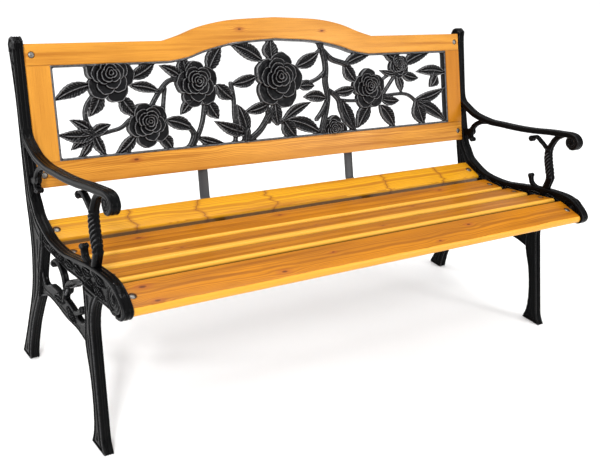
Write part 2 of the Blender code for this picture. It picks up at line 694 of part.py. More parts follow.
# ---------------------------------------------------------------- rose panel
def leaf_outline(root, tip, width):
    """A pointed oval from root to tip."""
    along = Vector(tip) - Vector(root)
    across = Vector((-along.y, along.x)).normalized() * width / 2
    left = [Vector(root) + along * s + across * w for s, w in LEAF_SHAPE]
    right = [Vector(root) + along * s - across * w for s, w in LEAF_SHAPE]
    return [tuple(point) for point in left + right[::-1]]


def rose_panel(look):
    rim = prism("rose_panel", opening_outline(RIM_GAP), RIM_GAP, RIM_GAP + RIM_DEPTH, in_back)
    inside = prism("inside", opening_outline(RIM), -CUT_OVER, RIM_DEPTH + CUT_OVER, in_back)
    combine(rim, [inside], "DIFFERENCE")
    step = 0.00008  # no two neighbours end at quite the same depth
    front = PANEL_SETBACK
    pieces = []
    for index, (x, height, radius) in enumerate(ROSES):
        pieces.append(prism("rose", circle((x, height), radius, 14), front - index * step,
                            front + ROSE_DEPTH + index * step, in_back))
    for index, (root, tip, width) in enumerate(LEAVES):
        low = front + LEAF_SETBACK + index * step / 2
        pieces.append(prism("leaf", leaf_outline(root, tip, width), low,
                            low + LEAF_DEPTH - index * step, in_back))
    for index, (width, points) in enumerate(STEMS):
        low = front + STEM_SETBACK + index * step
        pieces.append(prism("stem", stroke(points, width, 1), low, low + STEM_DEPTH + step, in_back))
    bound = prism("bound", opening_outline(RIM_GAP + RIM_BITE), -CUT_OVER, RIM_DEPTH + CUT_OVER,
                  in_back)
    body = pieces[0]
    combine(body, pieces[1:], "UNION")
    combine(body, [bound], "INTERSECT")
    ears, holes = [], []
    for x, height, out in EARS:
        tab, hole = panel_ear(x, height, out)
        ears.append(tab)
        holes.append(hole)
    combine(rim, [body] + ears, "UNION")
    combine(rim, holes, "DIFFERENCE")
    finish(rim, look)
    return rim


def panel_ear(x, height, out):
    """A tab behind the wood with a screw hole, and the neck that joins it to the rim."""
    half = EAR_WIDTH / 2
    root = height - out * EAR_ROOT
    low = TIMBER + CLEAR
    plate = rectangle(x - half, x + half, *sorted((root, height + out * EAR_LENGTH)))
    tab = prism("ear", plate, low, low + EAR_THICK, in_back)
    side = half - NECK_INSET
    neck = rectangle(x - side, x + side, *sorted((root, height - out * NECK_INSET)))
    combine(tab, [prism("neck", neck, RIM_DEPTH - EAR_ROOT, low + EAR_THICK / 2, in_back)], "UNION")
    hole = circle((x, height + out * EAR_HOLE_AT), SCREW_HOLE_R, PILOT_SIDES)
    return tab, prism("hole", hole, low - CUT_OVER, low + CUT_OVER, in_back)


# ---------------------------------------------------------------- fasteners
def bolt_mesh(reach):
    """A carriage bolt with its domed head in the recess and its end below, top face at Z = 0."""
    seat = -RECESS_DEPTH + CLEAR
    rings = [(BOLT_R - BOLT_CHAMFER, -reach), (BOLT_R, -reach + BOLT_CHAMFER), (BOLT_R, seat),
             (HEAD_R, seat), (HEAD_R * 0.93, seat + HEAD_H * 0.45),
             (HEAD_R * 0.4, seat + HEAD_H)]
    return turned("bolt", rings, PILOT_SIDES)


def nut_mesh():
    """A hexagon nut with a round flange on top, a clear hole, and its bearing face at Z = 0."""
    nut = turned("nut", [(NUT_R, -NUT_H), (NUT_R, -NUT_FLANGE_H * 0.8)], 6)
    flange = turned("flange", [(NUT_FLANGE_R, -NUT_FLANGE_H), (NUT_FLANGE_R, 0.0)], PILOT_SIDES)
    hole = turned("hole", [(BOLT_R + CLEAR, -NUT_H - CUT_OVER), (BOLT_R + CLEAR, CUT_OVER)],
                  PILOT_SIDES)
    combine(nut, [flange], "UNION")
    combine(nut, [hole], "DIFFERENCE")
    return nut


def screw_mesh(cover):
    """A wood screw with a pan head under a plate of the given thickness, +Z into the wood."""
    under = -cover - CLEAR
    rings = [(SCREW_HEAD_R * 0.55, under - SCREW_HEAD_H),
             (SCREW_HEAD_R, under - SCREW_HEAD_H * 0.4), (SCREW_HEAD_R, under), (SCREW_R, under),
             (SCREW_R, SCREW_SHANK), (SCREW_R * 0.3, SCREW_POINT)]
    return turned("screw", rings, 6)


def place_copies(source, named, look):
    """Makes one object of the source's mesh for each name and matrix, then drops the source."""
    finish(source, look, True)
    for name, matrix in named:
        copy = bpy.data.objects.new(name, source.data)
        copy.matrix_world = matrix
        bpy.context.scene.collection.objects.link(copy)
    bpy.data.objects.remove(source)


def fasteners(steel):
    reach = TIMBER + CLEAR + LUG_PLATE + NUT_H + BOLT_END
    into_back = Matrix.Rotation(math.pi / 2, 4, "X")
    places = []
    for side, x in (("left", -BOLT_X), ("right", BOLT_X)):
        for number in range(len(SLATS)):
            matrix = slat_matrix(number) @ Matrix.Translation((x, 0, 0))
            places.append((f"seat_{number + 1}_{side}", matrix))
    for x, height in back_bolt_places():
        side = "left" if x < 0 else "right"
        row = "top" if height > 0 else "bottom"
        matrix = back_matrix() @ Matrix.Translation((x, 0, height)) @ into_back
        places.append((f"back_{row}_{side}", matrix))
    place_copies(bolt_mesh(reach), [("bolt_" + name, matrix) for name, matrix in places], steel)
    drop = Matrix.Translation((0, 0, -TIMBER - LUG_PLATE - 2 * CLEAR))
    place_copies(nut_mesh(), [("nut_" + name, matrix @ drop) for name, matrix in places], steel)

    bar_screws = []
    for side, x in (("left", -BAR_X), ("right", BAR_X)):
        for index, matrix in enumerate(bar_screw_matrices(x)):
            bar_screws.append((f"bar_screw_{side}_{index + 1}", matrix))
    place_copies(screw_mesh(BAR_THICK), bar_screws, steel)

    # A screw into the back starts on the wood's rear face and points forwards.
    panel_screws = []
    for index, (x, height, out) in enumerate(EARS):
        spot = Matrix.Translation((x, TIMBER + CLEAR, height + out * EAR_HOLE_AT))
        panel_screws.append((f"panel_screw_{index + 1}", back_matrix() @ spot @ into_back))
    place_copies(screw_mesh(EAR_THICK), panel_screws, steel)


# ---------------------------------------------------------------- assembly
def main():
    clear_scene()
    iron = material("black_cast_iron", (0.018, 0.018, 0.020), 0.42, 0.6)
    steel = material("zinc_steel", (0.62, 0.62, 0.60), 0.32, 1.0)
    bar_steel = material("painted_bar", (0.06, 0.06, 0.065), 0.5, 0.4)
    wood = material("varnished_softwood", (0.66, 0.31, 0.06), 0.35, 0.0)

    right = end_frame("right_end_frame", iron)
    mirrored(right, "left_end_frame", iron)
    for number in range(len(SLATS)):
        seat_slat(number, wood)
    support_bar("left_support_bar", -BAR_X, bar_steel)
    support_bar("right_support_bar", BAR_X, bar_steel)

    back = bpy.data.objects.new("back_slope", None)
    bpy.context.scene.collection.objects.link(back)
    back.location = (0, *BACK_FOOT)
    back.rotation_euler = (-RECLINE, 0, 0)
    for piece in (top_rail(wood), bottom_rail(wood), stile("back_left_stile", -1, wood),
                  stile("back_right_stile", 1, wood), rose_panel(iron)):
        piece.parent = back
    fasteners(steel)


main()
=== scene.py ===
"""Looks of the garden bench: fine castings, boards, fasteners, materials, light and camera.

Frame: metres, +X along the bench, +Z up, the sitter faces -Y. Side profiles are (Y, Z) pairs;
the back has its own frame, X and height up the slope from the bottom of its opening.
"""

import math

import bmesh
import bpy
import numpy as np
from mathutils import Matrix, Vector


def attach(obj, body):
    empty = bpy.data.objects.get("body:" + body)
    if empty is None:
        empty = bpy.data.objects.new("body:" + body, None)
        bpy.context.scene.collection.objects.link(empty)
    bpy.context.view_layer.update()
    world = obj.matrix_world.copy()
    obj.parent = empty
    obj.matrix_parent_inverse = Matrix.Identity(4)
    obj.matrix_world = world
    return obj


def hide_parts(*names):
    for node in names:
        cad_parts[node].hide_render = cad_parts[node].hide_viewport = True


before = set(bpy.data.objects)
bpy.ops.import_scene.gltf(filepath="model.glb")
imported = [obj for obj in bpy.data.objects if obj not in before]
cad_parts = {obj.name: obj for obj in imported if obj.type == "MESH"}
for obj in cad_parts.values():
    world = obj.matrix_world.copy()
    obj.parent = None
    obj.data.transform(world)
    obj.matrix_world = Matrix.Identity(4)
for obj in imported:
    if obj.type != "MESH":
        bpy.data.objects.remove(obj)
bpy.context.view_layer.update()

# ---------------------------------------------------------------- dimensions of the bench
SIDES = (("left", -1), ("right", 1))
OUTER_X = 0.635
INNER_X = 0.613
MID_X = (OUTER_X + INNER_X) / 2
HALF_CASTING = (OUTER_X - INNER_X) / 2
HALF_WEB = 0.008
TIMBER = 0.020
CLEAR = 0.0003
SLAT_END_X = INNER_X - 0.0005
BOLT_X = 0.598
BOLT_R = 0.003
HEAD_R = 0.0065
HEAD_H = 0.0028
RECESS_R = 0.0072
RECESS_DEPTH = 0.003
BOLT_HOLE_R = 0.0035
NUT_R = 0.0058
NUT_H = 0.005
NUT_FLANGE_R = 0.0072
LUG_PLATE = 0.006
LUG_X = 0.578
LUG_ROOT = 0.008
LUG_HALF = 0.022
FRONT_LUG_HALF = 0.016
BACK_LUG_HALF = 0.019
BAR_X = 0.216
BAR_WIDTH = 0.025
BAR_THICK = 0.004
BAR_RISE = (-0.119, -0.054, -0.008)
SCREW_HEAD_R = 0.004
SCREW_HEAD_H = 0.002
SCREW_R = 0.0018
SCREW_REACH = 0.0115
THREAD_PITCH = 0.001
BACK_FOOT = (0.174, 0.443)
RECLINE = math.radians(18.46)
OPENING_HALF = 0.562
OPENING_SIDE = 0.196
OPENING_RISE = 0.044
TOP_SIDE = 0.240
TOP_RISE = 0.049
BOTTOM_RAIL = 0.051
# The back's rails: name, height of the line of bolts.
RAIL_ROWS = (("bottom", -BOTTOM_RAIL / 2), ("top", (OPENING_SIDE + TOP_SIDE) / 2))
RIM = 0.005
RIM_DEPTH = 0.018
RIM_GAP = 0.0005
EAR_WIDTH = 0.018
EAR_LENGTH = 0.020
EAR_THICK = 0.003
EAR_HOLE_AT = 0.012
EARS = (
    (-0.440, OPENING_SIDE, 1), (0.440, OPENING_SIDE, 1), (0.0, OPENING_SIDE + OPENING_RISE, 1),
    (-0.380, 0.0, -1), (0.380, 0.0, -1), (0.0, 0.0, -1),
)
OPENING_ARCH = (
    (0.0, 1.0), (0.100, 0.87), (0.150, 0.70), (0.200, 0.45), (0.240, 0.17), (0.285, 0.0),
)
CREST_ARCH = (
    (0.0, 1.0), (0.100, 0.92), (0.154, 0.81), (0.206, 0.59), (0.257, 0.24), (0.300, 0.0),
)
# Rounding along the front edges of the front slat, and of the others: top, bottom.
FRONT_SLAT_NOSE = (0.0095, 0.0095)
SLAT_NOSE = (0.005, 0.002)
RAIL_EASE = 0.0016
STILE_EASE = 0.0009
# Seat slats, front to back: middle of the top face (Y, Z), slope in degrees, width.
SLATS = (
    (-0.2435, 0.3420, 13.0, 0.074),
    (-0.1565, 0.3425, -11.0, 0.067),
    (-0.0695, 0.3260, -9.5, 0.067),
    (0.0160, 0.3145, 0.0, 0.067),
    (0.1000, 0.3265, 19.0, 0.062),
)

# ---------------------------------------------------------------- end frame profile (Y, Z)
POST_REAR = (
    (0.191, 0.000), (0.172, 0.057), (0.156, 0.113), (0.144, 0.159), (0.139, 0.206),
    (0.145, 0.272), (0.160, 0.324), (0.176, 0.366), (0.194, 0.426), (0.212, 0.488),
    (0.232, 0.555), (0.254, 0.611), (0.278, 0.664),
)
POST_CAP = ((0.274, 0.677), (0.260, 0.684), (0.246, 0.677))
POST_FRONT = (
    (0.243, 0.650), (0.230, 0.606), (0.215, 0.554), (0.202, 0.510), (0.190, 0.478),
    (0.178, 0.445), (0.165, 0.413), (0.153, 0.386), (0.138, 0.368), (0.118, 0.349),
    (0.088, 0.336),
)
BACK_LEG_FRONT = (
    (0.087, 0.300), (0.092, 0.266), (0.096, 0.235), (0.097, 0.206), (0.101, 0.178),
    (0.1115, 0.152), (0.122, 0.125), (0.131, 0.100), (0.1385, 0.070), (0.145, 0.035),
    (0.1465, 0.000),
)
ARM_STRAP = (
    (0.252, 0.677, 0.008), (0.246, 0.651, 0.008), (0.232, 0.605, 0.008),
    (0.216, 0.553, 0.008), (0.202, 0.510, 0.009), (0.191, 0.494, 0.011),
    (0.177, 0.486, 0.013), (0.154, 0.477, 0.014), (0.129, 0.471, 0.014),
    (0.079, 0.4695, 0.014), (0.037, 0.475, 0.014), (-0.015, 0.482, 0.014),
    (-0.067, 0.4915, 0.014), (-0.120, 0.504, 0.014), (-0.161, 0.512, 0.014),
    (-0.184, 0.5165, 0.013), (-0.201, 0.515, 0.012), (-0.2115, 0.504, 0.011),
    (-0.207, 0.491, 0.010), (-0.196, 0.487, 0.009), (-0.188, 0.493, 0.008),
)
SEAT_STRAP = (
    (0.190, 0.476), (0.1852, 0.4625), (0.170, 0.4255), (0.1535, 0.387), (0.140, 0.372),
    (0.122, 0.352), (0.0975, 0.340), (0.070, 0.330), (0.038, 0.3255), (-0.017, 0.328),
    (-0.069, 0.340), (-0.121, 0.3525), (-0.172, 0.361), (-0.223, 0.364), (-0.257, 0.353),
    (-0.280, 0.334), (-0.2735, 0.318), (-0.2555, 0.3135),
)
STRAP = 0.008
CAST_ROUND = 0.0028
RAIL_WEB_LOWER = (
    (-0.256, 0.310), (-0.222, 0.309), (-0.190, 0.306), (-0.150, 0.300), (-0.110, 0.306),
    (-0.080, 0.306), (-0.033, 0.300), (0.020, 0.300), (0.070, 0.300), (0.104, 0.296),
)
FRONT_LEG_FRONT = (
    (-0.178, 0.316), (-0.160, 0.285), (-0.156, 0.245), (-0.170, 0.192), (-0.196, 0.104),
    (-0.212, 0.050), (-0.221, 0.022), (-0.236, 0.000),
)
FRONT_LEG_REAR = (
    (-0.177, 0.000), (-0.183, 0.031), (-0.177, 0.077), (-0.160, 0.134), (-0.132, 0.195),
    (-0.127, 0.240), (-0.120, 0.275), (-0.110, 0.312),
)
BRACE_LOWER = (
    (0.116, 0.170), (0.090, 0.184), (0.062, 0.197), (0.020, 0.199), (-0.033, 0.195),
    (-0.090, 0.197), (-0.140, 0.188),
)
BRACE_UPPER = (
    (-0.140, 0.236), (-0.122, 0.232), (-0.108, 0.224), (-0.085, 0.222), (-0.050, 0.230),
    (-0.010, 0.234), (0.030, 0.232), (0.050, 0.230), (0.072, 0.219), (0.086, 0.224),
    (0.094, 0.242), (0.104, 0.268),
)
BRANCHES = (
    (0.011, ((-0.092, 0.306), (-0.062, 0.288), (-0.030, 0.268), (-0.014, 0.226))),
    (0.009, ((-0.018, 0.250), (-0.006, 0.276), (0.018, 0.292), (0.036, 0.290), (0.042, 0.280))),
    (0.010, ((-0.070, 0.226), (-0.084, 0.232), (-0.100, 0.245))),
    (0.012, ((0.086, 0.467), (0.110, 0.4595), (0.128, 0.4475), (0.1385, 0.432), (0.1415, 0.418),
             (0.138, 0.406))),
    (0.020, ((0.138, 0.424), (0.150, 0.417), (0.168, 0.413))),
    (0.007, ((-0.130, 0.456), (-0.105, 0.470), (-0.082, 0.480), (-0.070, 0.474))),
    (0.009, ((-0.146, 0.360), (-0.124, 0.353), (-0.101, 0.359), (-0.093, 0.375))),
)
BALUSTER = (
    (-0.160, 0.509, 0.013), (-0.143, 0.494, 0.012), (-0.1325, 0.470, 0.013),
    (-0.130, 0.452, 0.017), (-0.136, 0.430, 0.019), (-0.147, 0.405, 0.019),
    (-0.1526, 0.390, 0.019), (-0.150, 0.372, 0.018), (-0.145, 0.350, 0.020),
)
KNOBS = (
    ((0.130, 0.403), 0.0065), ((-0.069, 0.471), 0.008), ((0.041, 0.281), 0.008),
    ((-0.092, 0.377), 0.0065), ((-0.193, 0.500), 0.0075), ((-0.099, 0.246), 0.008),
    ((0.262, 0.655), 0.006), ((0.248, 0.632), 0.005),
)
NOSE = ((-0.238, 0.338), 0.030)
ROSETTE_R = 0.0095
VOLUTE = ((-0.1935, 0.5015), 0.0165)
# The baluster's twisted stretch: its ends along the baluster, and the pitch of its strands.
ROPE_ENDS = (0.058, 0.132)
ROPE_PITCH = 0.0095
# Steps in a casting's face, from its edge inwards: drop, start, end.
LEG_GROOVES = ((0.0024, 0.0036, 0.0056), (-0.0022, 0.0080, 0.0104), (0.0018, 0.0150, 0.0175))
WEB_GROOVES = ((0.0014, 0.0030, 0.0050),)
# Lines along the sides of a casting: share of its thickness, depth of the flute.
SIDE_FLUTES = (
    (0.06, 0.0), (0.18, 0.0010), (0.28, 0.0010), (0.36, 0.0), (0.50, 0.0012), (0.64, 0.0),
    (0.72, 0.0010), (0.82, 0.0010), (0.94, 0.0),
)
# Raised leaves on the seat rail and the brace: root, tip, width.
RAIL_LEAVES = (
    ((0.132, 0.342), (0.096, 0.322), 0.020), ((0.100, 0.327), (0.058, 0.314), 0.018),
    ((0.062, 0.320), (0.018, 0.308), 0.016), ((0.022, 0.318), (-0.022, 0.310), 0.016),
    ((-0.022, 0.318), (-0.066, 0.320), 0.016), ((-0.062, 0.326), (-0.106, 0.322), 0.017),
    ((-0.100, 0.336), (-0.150, 0.342), 0.018), ((-0.108, 0.324), (-0.158, 0.320), 0.018),
    ((-0.150, 0.348), (-0.204, 0.344), 0.018), ((-0.152, 0.330), (-0.205, 0.318), 0.018),
    ((-0.020, 0.222), (0.030, 0.215), 0.020), ((-0.034, 0.222), (-0.078, 0.208), 0.018),
    ((-0.040, 0.272), (-0.078, 0.297), 0.013), ((-0.016, 0.240), (-0.034, 0.270), 0.012),
)
# Raised beads on the end frame: width, points.
BEADS = (
    (0.0045, ((0.150, 0.352), (0.140, 0.334), (0.120, 0.318), (0.092, 0.307), (0.055, 0.3035),
              (0.010, 0.3035), (-0.040, 0.304), (-0.090, 0.309), (-0.112, 0.309))),
    (0.004, ((0.118, 0.300), (0.112, 0.262), (0.104, 0.230), (0.086, 0.206), (0.050, 0.207),
             (0.000, 0.207), (-0.050, 0.205), (-0.095, 0.205))),
    (0.004, ((0.150, 0.352), (0.146, 0.360), (0.137, 0.357), (0.138, 0.350))),
)

# ---------------------------------------------------------------- rose panel layout (X, height)
PANEL_CELL = 0.00115
FRAME_CELL = 0.0014
FAR_INSIDE = 0.02
SMOOTHING_ROUNDS = 9
STEM_BACK = 0.0115
THORN_PITCH = 0.034
LEAF_TOOTH = 0.0052
VEIN_PITCH = 0.0068
# Half width of a leaf, as a share, at shares of its length.
LEAF_PROFILE = (
    (-0.02, 0.0), (0.0, 0.20), (0.08, 0.50), (0.22, 0.84), (0.38, 1.0), (0.52, 0.97),
    (0.66, 0.80), (0.80, 0.52), (0.92, 0.22), (1.0, 0.02), (1.02, -0.05),
)
# Rings of petals: lip radius, petals, turn, height, how far the lip curls out.
PETAL_RINGS = (
    (1.07, 5, 0.0, 0.0, 0.8), (0.82, 5, 0.7, 0.22, 0.8), (0.61, 4, 1.9, 0.44, 0.6),
    (0.43, 3, 0.3, 0.66, 0.4), (0.27, 3, 1.2, 0.84, 0.2), (0.13, 2, 2.6, 1.0, 0.1),
)
# Roses: middle, radius, turn, scale of the petal rings.
ROSES = (
    (-0.432, 0.168, 0.052, 0.4, 1.0), (-0.350, 0.060, 0.046, 1.9, 1.0),
    (-0.220, 0.141, 0.049, 3.1, 1.0), (0.004, 0.140, 0.062, 4.4, 1.0),
    (0.285, 0.106, 0.048, 5.2, 1.0), (0.393, 0.160, 0.027, 0.9, 0.9),
    (0.162, 0.006, 0.034, 2.4, 0.9),
)
LEAVES = (
    ((-0.476, 0.153), (-0.559, 0.124), 0.031), ((-0.455, 0.137), (-0.486, 0.086), 0.034),
    ((-0.478, 0.050), (-0.530, 0.084), 0.023), ((-0.474, 0.050), (-0.559, 0.054), 0.030),
    ((-0.476, 0.050), (-0.533, 0.020), 0.026), ((-0.484, 0.040), (-0.518, 0.000), 0.018),
    ((-0.480, 0.052), (-0.456, 0.000), 0.024), ((-0.486, 0.048), (-0.438, 0.068), 0.024),
    ((-0.410, 0.124), (-0.376, 0.080), 0.034), ((-0.383, 0.040), (-0.434, 0.001), 0.027),
    ((-0.382, 0.163), (-0.320, 0.197), 0.030), ((-0.384, 0.147), (-0.313, 0.129), 0.025),
    ((-0.254, 0.156), (-0.311, 0.188), 0.024), ((-0.246, 0.168), (-0.252, 0.204), 0.036),
    ((-0.236, 0.106), (-0.268, 0.076), 0.024), ((-0.304, 0.067), (-0.237, 0.041), 0.032),
    ((-0.196, 0.102), (-0.169, 0.060), 0.034), ((-0.322, 0.034), (-0.296, 0.000), 0.030),
    ((-0.228, 0.022), (-0.158, 0.003), 0.022), ((-0.188, 0.172), (-0.150, 0.226), 0.036),
    ((-0.168, 0.138), (-0.126, 0.102), 0.034), ((-0.060, 0.152), (-0.130, 0.138), 0.030),
    ((-0.040, 0.190), (-0.122, 0.228), 0.036), ((-0.012, 0.190), (-0.012, 0.240), 0.042),
    ((0.062, 0.172), (0.132, 0.205), 0.034), ((0.066, 0.124), (0.112, 0.122), 0.028),
    ((0.143, 0.091), (0.076, 0.097), 0.030), ((0.012, 0.046), (0.098, 0.084), 0.024),
    ((0.012, 0.045), (0.046, 0.000), 0.040), ((0.030, 0.044), (0.124, 0.004), 0.036),
    ((-0.012, 0.086), (-0.006, 0.032), 0.037), ((-0.028, 0.088), (-0.098, 0.072), 0.028),
    ((-0.096, 0.020), (-0.118, 0.092), 0.034), ((-0.092, 0.022), (-0.182, 0.057), 0.030),
    ((0.196, 0.078), (0.234, 0.002), 0.038), ((0.212, 0.172), (0.300, 0.196), 0.028),
    ((0.210, 0.170), (0.246, 0.124), 0.034), ((0.236, 0.109), (0.171, 0.104), 0.027),
    ((0.284, 0.064), (0.240, 0.008), 0.038), ((0.322, 0.062), (0.367, 0.000), 0.036),
    ((0.328, 0.078), (0.390, 0.071), 0.026), ((0.386, 0.140), (0.326, 0.153), 0.016),
    ((0.404, 0.140), (0.462, 0.126), 0.026), ((0.386, 0.136), (0.398, 0.092), 0.022),
    ((0.380, 0.176), (0.344, 0.196), 0.026), ((0.410, 0.164), (0.512, 0.196), 0.032),
    ((0.558, 0.138), (0.456, 0.143), 0.030), ((0.530, 0.130), (0.503, 0.100), 0.030),
    ((0.448, 0.068), (0.558, 0.096), 0.028), ((0.450, 0.064), (0.558, 0.004), 0.032),
    ((0.450, 0.066), (0.474, 0.000), 0.046),
)
STEMS = (
    (0.010, ((-0.466, 0.136), (-0.488, 0.112), (-0.494, 0.086), (-0.482, 0.052))),
    (0.009, ((-0.480, 0.046), (-0.440, 0.053), (-0.414, 0.059), (-0.394, 0.074))),
    (0.011, ((-0.340, 0.098), (-0.318, 0.128), (-0.290, 0.153), (-0.258, 0.155))),
    (0.009, ((-0.302, 0.136), (-0.308, 0.106), (-0.312, 0.076))),
    (0.013, ((-0.250, 0.050), (-0.238, 0.032), (-0.246, 0.010), (-0.256, 0.000))),
    (0.011, ((-0.204, 0.098), (-0.212, 0.062), (-0.224, 0.034), (-0.246, 0.000))),
    (0.010, ((-0.130, 0.140), (-0.125, 0.104), (-0.127, 0.066), (-0.124, 0.034), (-0.131, 0.000))),
    (0.020, ((-0.096, 0.026), (-0.100, 0.000))),
    (0.015, ((-0.030, 0.060), (-0.056, 0.028), (-0.088, 0.006))),
    (0.011, ((-0.034, 0.090), (-0.031, 0.044))),
    (0.010, ((-0.008, 0.038), (0.014, 0.046))),
    (0.015, ((0.134, 0.228), (0.146, 0.196), (0.150, 0.165), (0.146, 0.130), (0.151, 0.098),
             (0.146, 0.070), (0.136, 0.040), (0.122, 0.000))),
    (0.010, ((0.147, 0.156), (0.124, 0.140), (0.096, 0.131))),
    (0.008, ((0.124, 0.202), (0.140, 0.212))),
    (0.011, ((0.150, 0.086), (0.130, 0.058), (0.112, 0.040))),
    (0.014, ((0.146, 0.206), (0.170, 0.186), (0.202, 0.176), (0.216, 0.172))),
    (0.013, ((0.148, 0.112), (0.170, 0.100), (0.186, 0.082), (0.190, 0.058), (0.206, 0.034),
             (0.232, 0.000))),
    (0.009, ((0.184, 0.084), (0.216, 0.080), (0.252, 0.078))),
    (0.009, ((0.330, 0.086), (0.400, 0.088), (0.430, 0.080), (0.452, 0.062))),
    (0.009, ((0.336, 0.092), (0.376, 0.134))),
    (0.008, ((0.322, 0.122), (0.362, 0.142))),
)


# ---------------------------------------------------------------- node materials
def rgb(*values):
    return (*values, 1.0)


RESIN_HALO = rgb(0.30, 0.075, 0.010)
KNOT_CORE = rgb(0.085, 0.018, 0.004)
GLUE_LINE = rgb(0.16, 0.05, 0.008)
SHADED_WOOD = rgb(0.035, 0.012, 0.004)
# Painted shade round the bolt recesses.
BOLT_RECESS_SHADE = rgb(0.05, 0.02, 0.006)


class Nodes:
    """A short way to write the shader nodes of one material."""

    def __init__(self, name):
        self.material = bpy.data.materials.new(name)
        self.material.use_nodes = True
        self.tree = self.material.node_tree
        self.shader = self.tree.nodes["Principled BSDF"]
        self.where = self.add("ShaderNodeTexCoord").outputs["Object"]

    def add(self, kind, inputs=(), **settings):
        node = self.tree.nodes.new(kind)
        for key, value in settings.items():
            setattr(node, key, value)
        for key, value in dict(inputs).items():
            self.put(node.inputs[key], value)
        return node

    def put(self, socket, value):
        if isinstance(value, bpy.types.NodeSocket):
            self.tree.links.new(value, socket)
        else:
            socket.default_value = value

    def maths(self, operation, a, b=0.0):
        return self.add("ShaderNodeMath", {0: a, 1: b}, operation=operation).outputs[0]

    def times(self, a, b):
        return self.maths("MULTIPLY", a, b)

    def plus(self, a, b):
        return self.maths("ADD", a, b)

    def minus(self, a, b):
        return self.maths("SUBTRACT", a, b)

    def length(self, a, b):
        return self.maths("SQRT", self.plus(self.times(a, a), self.times(b, b)))

    def vector(self, x, y, z):
        return self.add("ShaderNodeCombineXYZ", {0: x, 1: y, 2: z}).outputs[0]

    def scaled(self, vector, scale, offset=(0, 0, 0)):
        product = self.add("ShaderNodeVectorMath", {0: vector, 1: scale}, operation="MULTIPLY")
        return self.add("ShaderNodeVectorMath", {0: product.outputs[0], 1: offset},
                        operation="ADD").outputs[0]

    def ramp(self, value, low, high, to_low=0.0, to_high=1.0):
        return self.add("ShaderNodeMapRange", {0: value, 1: low, 2: high, 3: to_low, 4: to_high},
                        interpolation_type="SMOOTHSTEP").outputs[0]

    def mix(self, factor, a, b):
        return self.add("ShaderNodeMix", {0: factor, 6: a, 7: b}, data_type="RGBA").outputs[2]

    def noise(self, vector, scale, detail=2.0, roughness=0.5):
        return self.add("ShaderNodeTexNoise", {"Vector": vector, "Scale": scale, "Detail": detail,
                                               "Roughness": roughness}).outputs[0]

    def pointiness(self):
        return self.add("ShaderNodeNewGeometry").outputs["Pointiness"]

    def bump(self, height, strength, distance):
        node = self.add("ShaderNodeBump", {"Height": height, "Strength": strength,
                                           "Distance": distance})
        self.put(self.shader.inputs["Normal"], node.outputs[0])

    def look(self, slot, inputs):
        """Sets the shader's inputs and returns the look: a material and its slot."""
        for key, value in inputs.items():
            self.put(self.shader.inputs[key], value)
        return self.material, slot


def iron_material(name, seed, tone=1.0, wear_and_highlight_range=(0.528, 0.600)):
    """Black paint on cast iron: orange peel, sand pits, painted shade in the hollows, light grey
    edges that are partly rubbed paint and partly painted highlight.
    """
    n = Nodes(name)
    shifted = n.scaled(n.where, (1, 1, 1), (seed, seed * 0.7, -seed))
    sand = n.noise(shifted, 650.0, 3.0, 0.6)
    peel = n.noise(shifted, 170.0)
    cloud = n.noise(shifted, 9.0, 3.0)
    edge = n.pointiness()
    # Convex edges turn light grey: partly rubbed paint, partly painted highlight.
    wear_and_highlight = n.times(n.ramp(edge, *wear_and_highlight_range), n.ramp(peel, 0.25, 0.60, 0.35, 1.0))
    base = n.mix(cloud, rgb(*(tone * c for c in (0.0010, 0.0010, 0.0011))),
                 rgb(*(tone * c for c in (0.0026, 0.0027, 0.0030))))
    base = n.mix(n.times(wear_and_highlight, 0.85), base, rgb(0.19, 0.19, 0.195))
    # Painted shade: concave spots are darkened to near-black.
    base = n.mix(n.times(n.ramp(edge, 0.493, 0.455), 0.9), base, rgb(0.0006, 0.0006, 0.0007))
    n.bump(n.plus(n.times(peel, 0.7), n.times(sand, 0.3)), 0.35, 0.0006)
    return n.look("black_cast_iron", {
        "Base Color": base,
        "Roughness": n.plus(n.ramp(cloud, 0.3, 0.7, 0.16, 0.25), n.times(sand, 0.08)),
        "Specular IOR Level": 0.05,
    })


def bar_material():
    """Dark grey paint on rolled steel bar, its convex edges lighter: partly rubbed paint, partly
    painted highlight.
    """
    n = Nodes("painted_bar")
    cloud = n.noise(n.where, 22.0, 3.0)
    base = n.mix(cloud, rgb(0.014, 0.015, 0.017), rgb(0.030, 0.031, 0.034))
    # Painted highlight, partly rubbed paint: convex edges mixed towards light grey.
    base = n.mix(n.times(n.ramp(n.pointiness(), 0.53, 0.60), 0.5), base, rgb(0.2, 0.2, 0.2))
    n.bump(n.noise(n.scaled(n.where, (1, 0.12, 0.12)), 700.0), 0.25, 0.0004)
    return n.look("painted_bar", {"Base Color": base,
                                  "Roughness": n.ramp(cloud, 0.3, 0.7, 0.38, 0.52)})


def zinc_material():
    """Zinc plate with faint spangle."""
    n = Nodes("zinc_plate")
    spangle = n.noise(n.where, 900.0)
    n.bump(spangle, 0.2, 0.0002)
    return n.look("zinc_steel", {
        "Base Color": n.mix(spangle, rgb(0.13, 0.12, 0.11), rgb(0.26, 0.25, 0.23)),
        "Metallic": 1.0,
        "Roughness": n.ramp(spangle, 0.3, 0.7, 0.34, 0.50),
    })


